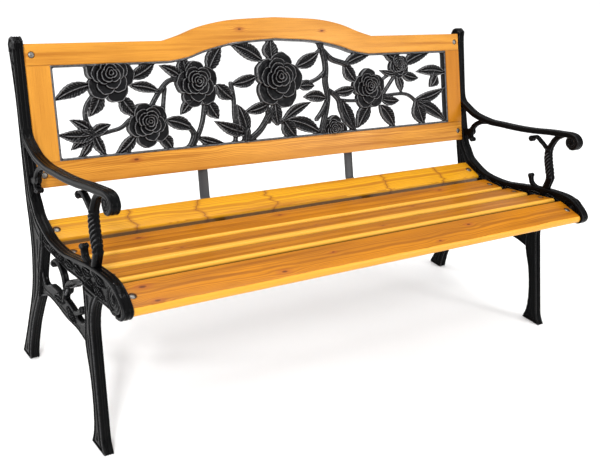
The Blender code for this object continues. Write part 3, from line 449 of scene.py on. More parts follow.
def wood_material(name, seed, light, dark, knots=(), joints=(), lie="seat", nose=None,
                  open_front=False):
    """Varnished softwood: growth rings bent round knots, fibre, streaks, glued end joints.

    lie: seat (grain along X, across Y), back (across Z) or upright (along Z, across X).
    knots: (along, across, radius); joints: places along the board with a dark glue line.
    nose: (front edge, strip width, colour) of a painted highlight: a paler strip along a slat's
    front edge.
    open_front: the slat's front side is in the open, gets no painted gap shade and stays as light
    as its top.
    """
    n = Nodes(name)
    x, y, z = n.add("ShaderNodeSeparateXYZ", {0: n.where}).outputs
    along, across, deep = {"seat": (x, y, z), "back": (x, z, y), "upright": (z, x, y)}[lie]
    wander = n.noise(n.vector(n.times(along, 2.2), seed, 0.0), 1.0)
    drift = n.times(n.minus(wander, 0.5), 0.045)
    ripple_at = n.vector(n.times(along, 9.0), n.times(across, 22.0), n.times(deep, 22.0))
    ripple = n.noise(n.scaled(ripple_at, (1, 1, 1), (seed, seed, seed)), 1.0, 3.0)
    shift = n.times(n.minus(ripple, 0.5), 0.012)
    reach = n.plus(n.plus(across, drift), shift)
    knot_mask = halo_mask = 0.0
    for knot_along, knot_across, radius in knots:
        dx = n.times(n.minus(along, knot_along), 0.42)
        dy = n.minus(across, knot_across)
        gap = n.length(dx, dy)
        # The rings part in front of a knot and close behind it.
        bend = n.ramp(gap, 0.0, radius * 5.5, 0.95, 0.0)
        reach = n.plus(reach, n.times(n.times(dy, bend), -0.9))
        rough_gap = n.plus(gap, n.times(shift, 0.25))
        core = n.ramp(rough_gap, radius * 0.30, radius * 0.80, 1.0, 0.0)
        halo = n.ramp(rough_gap, radius * 0.6, radius * 2.4, 1.0, 0.0)
        knot_mask = n.maths("MAXIMUM", knot_mask, core)
        halo_mask = n.maths("MAXIMUM", halo_mask, halo)
    ring_radius = n.length(reach, n.plus(deep, 0.042))
    uneven = n.noise(n.vector(n.times(ring_radius, 60.0), seed, 1.0), 1.0, 1.0)
    tooth = n.maths("FRACT", n.plus(n.times(ring_radius, 560.0), n.times(uneven, 3.0)))
    late = n.times(n.ramp(tooth, 0.35, 0.93), n.ramp(tooth, 1.0, 0.95))
    fibre = n.noise(n.vector(n.times(along, 14.0), n.times(across, 900.0), n.times(deep, 900.0)),
                    1.0)
    upright = lie == "upright"
    patch = n.noise(n.scaled(n.where, (22.0, 22.0, 4.0) if upright else (4.0, 30.0, 30.0),
                             (seed * 3.1, 0.0, seed)), 1.0, 3.0)
    streak = n.noise(n.scaled(n.where, (60.0, 60.0, 1.6) if upright else (1.6, 75.0, 75.0),
                              (0.0, seed, seed * 2.0)), 1.0, 3.0)
    middling = tuple(a * 0.62 + b * 0.38 for a, b in zip(light, dark))
    base = n.mix(n.ramp(patch, 0.3, 0.72), light, middling)
    base = n.mix(n.times(late, 0.54), base, dark)
    base = n.mix(n.times(n.ramp(streak, 0.50, 0.72), 0.62), base, dark)
    base = n.mix(n.times(n.ramp(fibre, 0.50, 0.75), 0.40), base, dark)
    if nose is not None:
        # Painted highlight: a paler strip along the front edge, where the light catches it.
        front, highlight_band, highlight_tint = nose
        edge = n.minus(n.plus(across, n.times(shift, 0.4)), front)
        base = n.mix(n.ramp(edge, highlight_band * 0.75, highlight_band * 1.2, 0.72, 0.0), base, highlight_tint)
    if knots:
        base = n.mix(n.times(halo_mask, 0.60), base, RESIN_HALO)
        base = n.mix(n.times(knot_mask, 0.85), base, KNOT_CORE)
    for place in joints:
        wave = n.noise(n.vector(place * 40, n.times(across, 55.0), seed), 1.0)
        bent = n.plus(along, n.times(n.minus(wave, 0.5), 0.055))
        gap = n.maths("ABSOLUTE", n.minus(bent, place))
        base = n.mix(n.ramp(gap, 0.001, 0.012, 0.55, 0.0), base, dark)
        base = n.mix(n.ramp(gap, 0.0006, 0.0026, 0.65, 0.0), base, GLUE_LINE)
    if lie == "seat":
        # The sides down in the gaps between the slats are painted darker than the top: painted
        # shade in the gaps.
        shade = n.ramp(deep, -0.0045, -0.0085, 0.0, 0.86)
        if open_front:
            shade = n.times(shade, n.ramp(across, -0.030, -0.010))
        base = n.mix(shade, base, SHADED_WOOD)
        # Painted shade: a dark ring round each bolt recess.
        from_bolt = n.length(n.minus(n.maths("ABSOLUTE", along), BOLT_X), across)
        base = n.mix(n.ramp(from_bolt, 0.0074, 0.0098, 0.85, 0.0), base, BOLT_RECESS_SHADE)
    n.bump(n.plus(n.times(late, 0.5), n.times(fibre, 0.5)), 0.22, 0.0005)
    return n.look("varnished_softwood", {
        "Base Color": base,
        "Roughness": n.plus(n.ramp(patch, 0.3, 0.7, 0.30, 0.40), n.times(late, 0.05)),
        "Specular IOR Level": 0.16,
        "Coat Weight": 0.06,
        "Coat Roughness": 0.22,
    })


# ---------------------------------------------------------------- shape helpers
def smooth(points, steps):
    """Points on a Catmull-Rom curve through the given points, with this many steps a span."""
    ends = [points[0]] + list(points) + [points[-1]]
    curve = []
    for a, b, c, d in zip(ends, ends[1:], ends[2:], ends[3:]):
        for i in range(steps):
            t = i / steps
            curve.append(tuple(
                0.5 * (2 * q + (r - p) * t + (2 * p - 5 * q + 4 * r - s) * t * t
                       + (3 * q - p - 3 * r + s) * t ** 3)
                for p, q, r, s in zip(a, b, c, d)
            ))
    curve.append(tuple(points[-1]))
    return curve


def arch(shape, low, rise):
    right = smooth(shape, 6)
    points = [(-x, low + rise * share) for x, share in right[::-1]]
    return points + [(x, low + rise * share) for x, share in right[1:]]


def opening_outline(inset):
    half = OPENING_HALF - inset
    top = arch(OPENING_ARCH, OPENING_SIDE - inset, OPENING_RISE)
    return [(-half, inset), (-half, OPENING_SIDE - inset)] + top + [
        (half, OPENING_SIDE - inset), (half, inset)]


def rounded(x, y, width, height, radius, steps=4):
    """A rounded rectangle."""
    points = []
    for sx, sy, start in ((1, 1, 0), (-1, 1, 1), (-1, -1, 2), (1, -1, 3)):
        for i in range(steps + 1):
            angle = math.pi / 2 * (start + i / steps)
            points.append((x + sx * (width / 2 - radius) + radius * math.cos(angle),
                           y + sy * (height / 2 - radius) + radius * math.sin(angle)))
    return points


BACK = Matrix.Translation((0, *BACK_FOOT)) @ Matrix.Rotation(-RECLINE, 4, "X")
INTO_BACK = Matrix.Rotation(math.pi / 2, 4, "X")


def on_slat(number, x=0.0, drop=0.0):
    """A place on a slat in its own axes, this far along it and below its top face."""
    y, z, slope, _ = SLATS[number]
    return (Matrix.Translation((0, y, z)) @ Matrix.Rotation(math.radians(slope), 4, "X")
            @ Matrix.Translation((x, 0, -drop)))


def on_back(x, depth, height):
    """A place on the back, this far behind its front face, with +Z out of that face."""
    return BACK @ Matrix.Translation((x, depth, height)) @ INTO_BACK


def add_piece(name, mesh, look, solid=None, matrix=None, smooth_angle=40):
    """Makes a mesh a piece of the bench: its place, look and the solid it stands for."""
    obj = bpy.data.objects.new(name, mesh)
    bpy.context.scene.collection.objects.link(obj)
    if matrix is not None:
        obj.matrix_world = matrix
    material, slot = look
    mesh.materials.clear()
    mesh.materials.append(material)
    mesh.shade_smooth()
    mesh.set_sharp_from_angle(angle=math.radians(smooth_angle))
    if solid:
        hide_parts(solid)
    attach(obj, "root")


def mesh_of(bm, name):
    bmesh.ops.recalc_face_normals(bm, faces=bm.faces)
    mesh = bpy.data.meshes.new(name)
    bm.to_mesh(mesh)
    bm.free()
    return mesh


def box(size, middle):
    bm = bmesh.new()
    bmesh.ops.create_cube(bm, size=1.0,
                          matrix=Matrix.Translation(middle) @ Matrix.Diagonal((*size, 1.0)))
    return bm


def loft_mesh(name, *tubes):
    """Closed tubes: each is a list of loops of points, joined in order and closed at its ends."""
    bm = bmesh.new()
    for tube in tubes:
        loops = [[bm.verts.new(point) for point in loop] for loop in tube]
        for lower, upper in zip(loops, loops[1:]):
            for corners in zip(lower, lower[1:] + lower[:1], upper[1:] + upper[:1], upper):
                bm.faces.new(corners)
        bm.faces.new(loops[0][::-1])
        bm.faces.new(loops[-1])
    return mesh_of(bm, name)


def prism_mesh(name, outline, low, high, place, chamfer):
    """A prism with chamfered ends. place turns (outline point, way through) into a point."""
    middle_u, middle_v = (sum(values) / len(outline) for values in zip(*outline))

    def drawn_in(value, middle, inset):
        return value + math.copysign(min(inset, abs(middle - value)), middle - value)

    levels = ((low, chamfer), (low + chamfer, 0.0), (high - chamfer, 0.0), (high, chamfer))
    return loft_mesh(name, [
        [place(drawn_in(u, middle_u, inset), drawn_in(v, middle_v, inset), w) for u, v in outline]
        for w, inset in levels
    ])


def circle(radius, z, sides):
    return [(radius * math.cos(math.tau * i / sides), radius * math.sin(math.tau * i / sides), z)
            for i in range(sides)]


def turned_mesh(name, rings, sides):
    return loft_mesh(name, [circle(radius, z, sides) for radius, z in rings])


def sweep_mesh(name, path, cross):
    """A bar along (Y, Z) points; cross gives its section there: X, height off the path."""
    loops = []
    for i, (y, z, *size) in enumerate(path):
        before, after = path[max(i - 1, 0)], path[min(i + 1, len(path) - 1)]
        dy, dz = after[0] - before[0], after[1] - before[1]
        length = math.hypot(dy, dz)
        loops.append([(x, y - dz / length * b, z + dy / length * b) for x, b in cross(*size)])
    return loft_mesh(name, loops)


def cut(mesh, tool, places):
    """Cuts a tool's shape from a mesh at each of the places."""
    blank = bpy.data.objects.new("blank", mesh)
    bpy.context.scene.collection.objects.link(blank)
    helpers = [blank]
    for place in places:
        shape = tool.copy()
        shape.transform(place)
        cutter = bpy.data.objects.new("cutter", shape)
        bpy.context.scene.collection.objects.link(cutter)
        helpers.append(cutter)
        modifier = blank.modifiers.new("cut", "BOOLEAN")
        modifier.operation = "DIFFERENCE"
        modifier.object = cutter
        modifier.solver = "EXACT"
    bpy.context.view_layer.update()
    graph = bpy.context.evaluated_depsgraph_get()
    result = bpy.data.meshes.new_from_object(blank.evaluated_get(graph))
    for helper in helpers:
        bpy.data.objects.remove(helper)
    return result


# ---------------------------------------------------------------- cast relief
class Relief:
    """A casting drawn on a grid: how far inside its outline each point lies, and its surface."""

    def __init__(self, low, high, cell):
        self.cell = cell
        self.u = np.arange(low[0], high[0] + cell, cell)
        self.v = np.arange(low[1], high[1] + cell, cell)
        shape = (len(self.v), len(self.u))
        self.inside = np.full(shape, -FAR_INSIDE)
        self.front, self.edge, self.back = (np.full(shape, -1.0) for _ in range(3))

    def window(self, points, margin):
        """Index window round some points, and the coordinates in it."""
        points = np.asarray(points)[:, :2]
        low, high = points.min(0) - margin, points.max(0) + margin
        i = np.searchsorted(self.v, (low[1], high[1]))
        j = np.searchsorted(self.u, (low[0], high[0]))
        rows, columns = slice(max(i[0], 0), i[1] + 1), slice(max(j[0], 0), j[1] + 1)
        u, v = np.meshgrid(self.u[columns], self.v[rows])
        return (rows, columns), u, v

    def stroke(self, width, points):
        """A strip's window, distance inside, place along it, offset and share of the way out."""
        line = [(*point, width) for point in smooth(points, 5)]
        window, u, v = self.window(line, width)
        inside, place, offset = stroke_inside(line, u, v)
        return window, inside, place, offset, np.clip(np.abs(offset) / (width / 2), 0, 1)

    def disc(self, middle, radius):
        """A disc's window, with the distance from its middle and the angle round it."""
        window, u, v = self.window([middle], radius * 1.5)
        du, dv = u - middle[0], v - middle[1]
        return window, np.hypot(du, dv), np.arctan2(dv, du)

    def lay(self, window, inside, front, edge, back):
        """Adds a shape: front is its surface, edge the height where its side begins."""
        inside = np.minimum(inside, FAR_INSIDE)
        deeper = inside > self.inside[window]
        self.edge[window] = np.where(deeper, edge, self.edge[window])
        self.inside[window] = np.maximum(self.inside[window], inside)
        here = inside > -self.cell * 0.01
        for sheet, height in ((self.front, front), (self.back, back)):
            sheet[window] = np.where(here, np.maximum(sheet[window], height), sheet[window])


def half_round(share):
    """Height of a round bar's surface over its middle plane, at this share of the way out."""
    return np.sqrt(1 - share * share * 0.98)


def rounding(inside, radius):
    """How far a surface lies under its level this far inside a rounded edge."""
    gap = np.clip(radius - inside, 0.0, radius)
    return radius - np.sqrt(radius * radius - gap * gap)


def step(value, low, high):
    t = np.clip((value - low) / (high - low), 0.0, 1.0)
    return t * t * (3 - 2 * t)


def ridge(value, half):
    return np.exp(-(value / half) ** 2)


def polygon_inside(outline, u, v):
    """Signed distance to a closed outline, positive inside."""
    points = np.asarray(outline)
    best = np.full(u.shape, 1e9)
    odd = np.zeros(u.shape, bool)
    for a, b in zip(points, np.roll(points, -1, axis=0)):
        along = b - a
        length = along @ along
        if length < 1e-14:
            continue
        t = np.clip(((u - a[0]) * along[0] + (v - a[1]) * along[1]) / length, 0, 1)
        gap = np.hypot(u - a[0] - t * along[0], v - a[1] - t * along[1])
        best = np.minimum(best, gap)
        if a[1] != b[1]:
            crosses = (a[1] > v) != (b[1] > v)
            odd ^= crosses & (u < (b[0] - a[0]) * (v - a[1]) / (b[1] - a[1]) + a[0])
    return np.where(odd, best, -best)


def stroke_inside(points, u, v):
    """For a strip of points (u, v, width): distance inside, place along it, signed offset."""
    points = np.asarray(points)
    best = np.full(u.shape, -1e9)
    place = np.zeros(u.shape)
    offset = np.zeros(u.shape)
    start = 0.0
    for a, b in zip(points, points[1:]):
        along = b[:2] - a[:2]
        length = math.hypot(*along)
        if length < 1e-9:
            continue
        t = np.clip(((u - a[0]) * along[0] + (v - a[1]) * along[1]) / length ** 2, 0, 1)
        du, dv = u - a[0] - t * along[0], v - a[1] - t * along[1]
        gap = np.hypot(du, dv)
        inside = (a[2] + (b[2] - a[2]) * t) / 2 - gap
        nearer = inside > best
        side = np.sign(along[0] * dv - along[1] * du)
        best = np.where(nearer, inside, best)
        place = np.where(nearer, start + t * length, place)
        offset = np.where(nearer, gap * side, offset)
        start += length
    return best, place, offset


def relief_mesh(name, relief, place, rows, mirror=False):
    """Closed mesh of a relief: front, sides and back. place turns arrays u, v, w into points.

    rows are the lines along the sides: share of the way to the back, depth of the flute there.
    """
    inside = relief.inside > 0
    ids = np.full(inside.shape, -1)
    ids[inside] = np.arange(inside.sum())
    grid_u, grid_v = np.meshgrid(relief.u, relief.v)
    front = [np.stack([grid_u[inside], grid_v[inside], relief.front[inside]], 1)]
    back = [np.stack([grid_u[inside], grid_v[inside], -relief.back[inside]], 1)]
    total = int(inside.sum())
    cross = {}

    def crossings(first, second, tag):
        """New points where the outline crosses the grid lines between two node sets."""
        nonlocal total
        a, b = relief.inside[first], relief.inside[second]
        mask = (a > 0) != (b > 0)
        t = a[mask] / (a[mask] - b[mask])
        u = grid_u[first][mask] + t * (grid_u[second][mask] - grid_u[first][mask])
        v = grid_v[first][mask] + t * (grid_v[second][mask] - grid_v[first][mask])
        inner = a[mask] > 0
        edge = np.where(inner, relief.edge[first][mask], relief.edge[second][mask])
        top = np.where(inner, relief.front[first][mask], relief.front[second][mask])
        rear = np.where(inner, relief.back[first][mask], relief.back[second][mask])
        front.append(np.stack([u, v, np.minimum(edge, top)], 1))
        back.append(np.stack([u, v, -rear], 1))
        table = np.full(mask.shape, -1)
        table[mask] = total + np.arange(mask.sum())
        total += int(mask.sum())
        cross[tag] = table

    crossings(np.s_[:, :-1], np.s_[:, 1:], "h")
    crossings(np.s_[:-1, :], np.s_[1:, :], "v")
    corners = np.stack([inside[:-1, :-1], inside[:-1, 1:], inside[1:, 1:], inside[1:, :-1]])
    full = corners.all(0)
    quads = np.stack([ids[:-1, :-1][full], ids[:-1, 1:][full], ids[1:, 1:][full],
                      ids[1:, :-1][full]], 1)
    faces, walls = quads.tolist(), []
    for i, j in zip(*np.nonzero(corners.any(0) & ~full)):
        loop = []
        ring = (
            (ids[i, j], cross["h"][i, j]), (ids[i, j + 1], cross["v"][i, j + 1]),
            (ids[i + 1, j + 1], cross["h"][i + 1, j]), (ids[i + 1, j], cross["v"][i, j]),
        )
        for node, crossing in ring:
            if node >= 0:
                loop.append((int(node), False))
            if crossing >= 0:
                loop.append((int(crossing), True))
        faces.append([k for k, _ in loop])
        for (a, first), (b, second) in zip(loop, loop[1:] + loop[:1]):
            if first and second:
                walls.append((a, b))
    faces = [face for face in faces if len(face) > 2]
    front, back = np.concatenate(front), np.concatenate(back)
    ahead, behind = np.arange(total), np.arange(total)
    for a, b in walls:
        ahead[a], behind[b] = b, a
    # The points along the outline are evened out, so that the sides shade smoothly.
    for _ in range(SMOOTHING_ROUNDS):
        for sheet in (front, back):
            sheet[:] = 0.5 * sheet + 0.25 * (sheet[ahead] + sheet[behind])
    rim = np.array(sorted({a for wall in walls for a in wall}))
    heading = front[ahead[rim], :2] - front[behind[rim], :2]
    heading /= np.maximum(np.hypot(*heading.T), 1e-9)[:, None]
    outward = np.stack([heading[:, 1], -heading[:, 0], np.zeros(len(rim))], 1)
    depth = np.minimum((front[rim, 2] - back[rim, 2]) / 0.02, 1.0)[:, None]
    lines = [front[rim] + (back[rim] - front[rim]) * share - outward * depth * flute
             for share, flute in rows]
    points = np.concatenate([front, back] + lines)
    points = np.stack(place(points[:, 0], points[:, 1], points[:, 2]), 1)
    under = [[k + total for k in face[::-1]] for face in faces]
    rank = np.full(total, -1)
    rank[rim] = np.arange(len(rim))
    sides = []
    for a, b in walls:
        ladder = [(a, b)]
        for row in range(len(rows)):
            first = 2 * total + row * len(rim)
            ladder.append((first + int(rank[a]), first + int(rank[b])))
        ladder.append((a + total, b + total))
        sides += [[high[1], high[0], low[0], low[1]] for high, low in zip(ladder, ladder[1:])]
    everything = faces + under + sides
    if mirror:
        everything = [face[::-1] for face in everything]
    mesh = bpy.data.meshes.new(name)
    mesh.from_pydata(points.tolist(), [], everything)
    mesh.validate()
    mesh.update()
    return mesh


# ---------------------------------------------------------------- rose panel
def leaf(relief, root, tip, width, base, lift, back, curl=1.0):
    """A pointed leaf with a raised midrib, side veins, a hollow on both sides and a lifted tip."""
    root, tip = np.array(root), np.array(tip)
    window, u, v = relief.window([root, tip], width)
    length = float(np.hypot(*(tip - root)))
    ahead = (tip - root) / length
    s = ((u - root[0]) * ahead[0] + (v - root[1]) * ahead[1]) / length
    across = (u - root[0]) * -ahead[1] + (v - root[1]) * ahead[0]
    across = across - 0.05 * length * curl * np.sin(math.pi * np.clip(s, 0, 1))
    half = np.interp(s, *zip(*LEAF_PROFILE), left=-0.3, right=-0.3) * width / 2
    notch = 0.016 * width * np.sin(s * length / LEAF_TOOTH * math.pi)
    half = half + np.where(half > width * 0.15, notch, 0.0)
    inside = np.minimum(half - np.abs(across), np.minimum(s + 0.03, 1.02 - s) * length)
    q = np.clip(np.abs(across) / np.maximum(half, 1e-5), 0, 1)
    rib = ridge(across, 0.0011)
    slant = (s * length - np.abs(across) * 0.9) / VEIN_PITCH
    vein = ridge((slant - np.round(slant)) * VEIN_PITCH, 0.0008)
    vein = vein * (1 - q ** 3) * step(q, 0.04, 0.2)
    front = (base + lift * (0.55 * np.sin(math.pi * np.clip(s, 0.05, 1)) + 0.2)
             + 0.0026 * q ** 2 - 0.0020 * ridge(q - 0.34, 0.22)
             + 0.0022 * rib + 0.0015 * vein - rounding(inside, 0.0014))
    relief.lay(window, inside, front, base - 0.0008, back)


def stem(relief, width, points, base, back):
    window, inside, place, offset, q = relief.stroke(width, points)
    bark = 0.0003 * np.sin(offset / width * 22.0 + place * 60.0)
    thorn = 0.0007 * ridge(np.mod(place, THORN_PITCH) - THORN_PITCH / 2, 0.0022) * (1 - q)
    front = base + width * 0.42 * np.sqrt(1 - q * q * 0.96) + bark + thorn
    relief.lay(window, inside, front, base, back)


def rose(relief, x, height, radius, turn, heart, base, dome, back):
    """A rose from the front: a spiral heart in rings of petals whose lips stand up."""
    window, u, v = relief.window([(x, height)], radius * 1.3)
    # The heart sits above the middle, as if the flower tips towards the light.
    away = np.hypot(u - x, v - height)
    pull = 1 - np.clip(away / radius, 0, 1) ** 1.6
    du, dv = u - x, v - height - radius * 0.16 * pull
    r = np.hypot(du, dv) / radius * heart
    theta = np.arctan2(dv, du)
    front = np.full(u.shape, -1.0)
    inside = np.full(u.shape, -1.0)
    inner_rims = [ring[0] * 0.86 for ring in PETAL_RINGS[1:]] + [0.0]
    for level, (rim, petals, phase, share, curl) in enumerate(PETAL_RINGS):
        inner = inner_rims[level]
        spin = theta * petals / math.tau + (turn + phase)
        within = spin - np.floor(spin)
        # A petal is round, with a slight point in its middle, and tucks under the next one.
        lobe = 1 - 0.17 * np.abs(2 * within - 1) ** 3 + 0.05 * ridge(within - 0.5, 0.12)
        lip = rim * (lobe + 0.07 * (0.5 - within))
        t = np.clip((r - inner) / np.maximum(lip - inner, 1e-4), 0.0, 1.2)
        from_lip = (lip - r) * radius
        inside = np.maximum(inside, from_lip * 0.9)
        bowl = base + dome * (0.22 + 0.78 * share) + 0.0030 * (within - 0.5)
        shape = bowl + 0.0030 * t ** 2 - 0.0030 * (1 - t)
        shape = shape + 0.0014 * ridge(from_lip - 0.0016, 0.0013)
        shape = shape - 0.0026 * curl * step(t, 0.55, 1.0) - 0.0016 * ridge(from_lip, 0.0007)
        shape = shape + 0.0006 * curl * np.sin(theta * 17 + turn * 5 + level) * t
        front = np.where(r <= lip, np.maximum(front, shape), front)
    front = np.maximum(front, base) - rounding(inside, 0.0012)
    relief.lay(window, inside, front, base - 0.001, back)


def build_rose_panel(look):
    """The pierced casting: rim, stems, leaves and roses, and its ears behind the boards."""
    side, top = OPENING_HALF + 0.002, OPENING_SIDE + OPENING_RISE + 0.004
    relief = Relief((-side, -0.002), (side, top), PANEL_CELL)
    outline = opening_outline(RIM_GAP)
    window, u, v = relief.window(outline, 0.002)
    depth = polygon_inside(outline, u, v)
    rim_inside = np.minimum(depth, RIM - RIM_GAP - depth)
    relief.lay(window, rim_inside, -0.0008 - rounding(rim_inside, 0.0012), -0.002,
               RIM_GAP + RIM_DEPTH)
    for width, points in STEMS:
        stem(relief, width, points, -0.0070, STEM_BACK)
    for index, (root, tip, width) in enumerate(LEAVES):
        leaf(relief, root, tip, width, -0.0072 + 0.0004 * (index % 4), 0.0042, 0.012,
             1.0 if index % 2 else -1.0)
    for x, height, radius, turn, heart in ROSES:
        rose(relief, x, height, radius, turn, heart, -0.0045, radius * 0.19, 0.015)
    # Nothing reaches outside the rim.
    relief.inside[window] = np.minimum(relief.inside[window], depth)
    relief.back[relief.back < 0.0] = STEM_BACK

    def place(u, v, w):
        return (np.array(BACK) @ np.stack([u, -w, v, np.ones_like(u)]))[:3]

    mesh = relief_mesh("rose_casting", relief, place, ((0.08, 0.0), (0.92, 0.0)))
    add_piece("rose_casting", mesh, look, "rose_panel", smooth_angle=50)
    for index, (x, height, out) in enumerate(EARS):
        ends = sorted((height - out * 0.004, height + out * EAR_LENGTH))
        outline = rounded(x, sum(ends) / 2, EAR_WIDTH, ends[1] - ends[0], 0.004)
        tab = prism_mesh("ear", outline, TIMBER + CLEAR, TIMBER + CLEAR + EAR_THICK,
                         lambda u, v, w: (u, w, v), 0.0005)
        add_piece(f"panel_ear_{index + 1}", tab, look, matrix=BACK)


# ---------------------------------------------------------------- end frames
def end_relief():
    """Legs, post, seat rail, brace and baluster of an end frame, as a relief on (Y, Z)."""
    relief = Relief((-0.292, -0.004), (0.290, 0.692), FRAME_CELL)
    post = (smooth(POST_REAR, 4) + smooth(POST_CAP, 4) + smooth(POST_FRONT, 4)
            + smooth(BACK_LEG_FRONT, 4))
    rail = smooth(SEAT_STRAP[4:-1], 4) + smooth(RAIL_WEB_LOWER, 4)
    front_leg = smooth(FRONT_LEG_FRONT, 5) + smooth(FRONT_LEG_REAR, 5)
    brace = smooth(BRACE_LOWER, 4) + smooth(BRACE_UPPER, 4)
    full = HALF_CASTING - 0.0004
    for outline, level, grooves in (
        (post, full, LEG_GROOVES), (front_leg, full, LEG_GROOVES),
        (rail, HALF_WEB - 0.001, WEB_GROOVES), (brace, HALF_WEB - 0.0015, WEB_GROOVES),
    ):
        window, u, v = relief.window(outline, 0.004)
        inside = polygon_inside(outline, u, v)
        front = level - rounding(inside, CAST_ROUND)
        for depth, start, end in grooves:
            front = front - depth * step(inside, start, end)
        relief.lay(window, inside, front, level - CAST_ROUND, level)
    for width, points in BRANCHES:
        window, inside, _, offset, q = relief.stroke(width, points)
        front = 0.0030 + 0.0045 * half_round(q) - 0.0006 * ridge(offset, 0.0009)
        relief.lay(window, inside, front, 0.0030, front)
    twisted_baluster(relief)
    for middle, radius in KNOBS:
        window, away, _ = relief.disc(middle, radius)
        dome = 0.0042 + 0.0050 * np.sqrt(np.clip(1 - (away / radius) ** 2, 0, 1))
        dome = dome + 0.0008 * ridge(away - radius * 0.45, 0.0008)
        proud = 0.0040 if middle[1] > 0.6 else 0.0
        relief.lay(window, radius - away, dome + proud, 0.0042, 0.008)
    seat_nose(relief)
    arm_volute(relief)
    for root, tip, width in RAIL_LEAVES:
        leaf(relief, root, tip, width, HALF_WEB - 0.0034, 0.0030, 0.006)
    for width, points in BEADS:
        window, inside, _, _, q = relief.stroke(width, points)
        under = relief.front[window]
        bead = np.minimum(np.where(under > 0, under, 0.006), full - 0.001) + 0.0013 * half_round(q)
        bead = np.minimum(bead, HALF_CASTING)
        on_casting = (inside > 0) & (relief.inside[window] > 0)
        relief.front[window] = np.where(on_casting, np.maximum(under, bead), under)
    # The inner face carries the same relief, a little shallower.
    relief.back = np.where(relief.back > 0, 0.0006 + relief.front * 0.96, relief.back)
    return relief


def twisted_baluster(relief):
    """The post under the arm: plain ends, a twisted rope between two rings."""
    line = smooth(BALUSTER, 8)
    window, u, v = relief.window(line, 0.02)
    inside, place, offset = stroke_inside(line, u, v)
    q = np.clip(np.abs(offset) / np.maximum(inside + np.abs(offset), 1e-4), 0, 1)
    low, high = ROPE_ENDS
    rope = step(place, low + 0.004, low + 0.010) * step(place, high - 0.004, high - 0.010)
    strand = np.abs(np.sin(math.pi * (place - offset * 0.9) / ROPE_PITCH)) ** 0.7
    front = 0.0032 + 0.0060 * half_round(q) + rope * (0.0040 * strand - 0.0022)
    for end in ROPE_ENDS:
        front = front + 0.0016 * ridge(place - end, 0.0024)
    relief.lay(window, inside + rope * (0.0016 * strand - 0.0006), front, 0.0032, front)


def seat_nose(relief):
    """The curled end of the seat rail: a spiral round a small rosette."""
    middle, radius = NOSE
    window, away, angle = relief.disc(middle, radius)
    turns = away / 0.0078 - angle / math.tau
    groove = np.abs(turns - np.round(turns))
    front = HALF_WEB - 0.0022 + 0.0022 * (1 - 2 * groove) ** 0.8
    petals = 0.0018 * np.abs(np.cos(2.5 * angle)) * step(away, ROSETTE_R, 0.004)
    heart = 0.0030 * np.sqrt(np.clip(1 - (away / ROSETTE_R) ** 2, 0, 1))
    front = np.where(away < ROSETTE_R, HALF_WEB - 0.001 + heart + petals * 0.6, front)
    relief.lay(window, radius - away, front, 0.004, 0.006)


def arm_volute(relief):
    """The rolled end of the arm: a tight volute that fills the curl of the strap."""
    middle, radius = VOLUTE
    window, away, angle = relief.disc(middle, radius)
    turns = away / 0.0064 + angle / math.tau
    groove = np.abs(turns - np.round(turns))
    full = HALF_CASTING - 0.0006
    front = full - 0.0030 + 0.0030 * (1 - 2 * groove) ** 0.6
    front = np.where(away < 0.0045, full - 0.0012 * (away / 0.0045) ** 2, front)
    relief.lay(window, radius - away, front, full - 0.004, full)


def section(thickness):
    """Cross-section of a strap (across the casting, through it): beaded faces, round edges."""
    half, t = HALF_CASTING, thickness / 2
    radius = min(CAST_ROUND, t * 0.75)
    face, flank = [], []
    for i in range(17):
        a = (-1 + 2 * i / 16) * (half - radius * 0.25)
        drop = float(rounding(np.array(half - abs(a)), radius))
        bead = 0.0011 * ridge(abs(a) - half * 0.40, 0.0011)
        face.append((a, t - drop - bead))
    for b in (0.55, 0.25, 0.0, -0.25, -0.55):
        groove = 0.0009 * ridge(b, 0.22) if thickness > 0.009 else 0.0
        flank.append((half - groove, b * (t - radius * 0.6) / 0.55 * 0.9))
    return face + flank + [(-a, -b) for a, b in face + flank]


def lug_mesh(half):
    """A lug plate in the slat's frame, rounded at its free corners."""
    length = INNER_X + LUG_ROOT - LUG_X
    bm = box((length, 2 * half, LUG_PLATE), (LUG_X + length / 2, 0, 0))
    upright = [e for e in bm.edges if abs(e.verts[0].co.z - e.verts[1].co.z) > 1e-4
               and e.verts[0].co.x < LUG_X + 0.001]
    bmesh.ops.bevel(bm, geom=upright, offset=0.006, segments=4, affect="EDGES")
    flat = [e for e in bm.edges if abs(e.verts[0].co.z - e.verts[1].co.z) < 1e-5
            and e.is_manifold and e.calc_face_angle(0) > 0.6]
    bmesh.ops.bevel(bm, geom=flat, offset=0.0008, segments=2, affect="EDGES")
    return mesh_of(bm, "lug")


def build_end_frame(label, side, relief, look):
    def place(u, v, w):
        return side * (MID_X + w), u, v

    def cross(thickness):
        return [(side * (MID_X + a), -b) for a, b in section(thickness)]

    mesh = relief_mesh(f"{label}_casting", relief, place, SIDE_FLUTES, mirror=side < 0)
    add_piece(f"{label}_casting", mesh, look, f"{label}_end_frame", smooth_angle=42)
    for name, path in (("arm", ARM_STRAP), ("seat", [(*point, STRAP) for point in SEAT_STRAP])):
        strap = sweep_mesh(name, smooth(path, 14), cross)
        add_piece(f"{label}_{name}_strap", strap, look, smooth_angle=55)
    turn = Matrix.Identity(4) if side > 0 else Matrix.Rotation(math.pi, 4, "Z")
    behind = TIMBER + CLEAR + LUG_PLATE / 2
    for number in range(len(SLATS)):
        lug = lug_mesh(LUG_HALF if number else FRONT_LUG_HALF)
        add_piece(f"{label}_seat_lug_{number + 1}", lug, look,
                  matrix=on_slat(number, 0.0, behind) @ turn)
    for row, height in RAIL_ROWS:
        add_piece(f"{label}_back_lug_{row}", lug_mesh(BACK_LUG_HALF), look,
                  matrix=on_back(0.0, behind, height) @ turn)


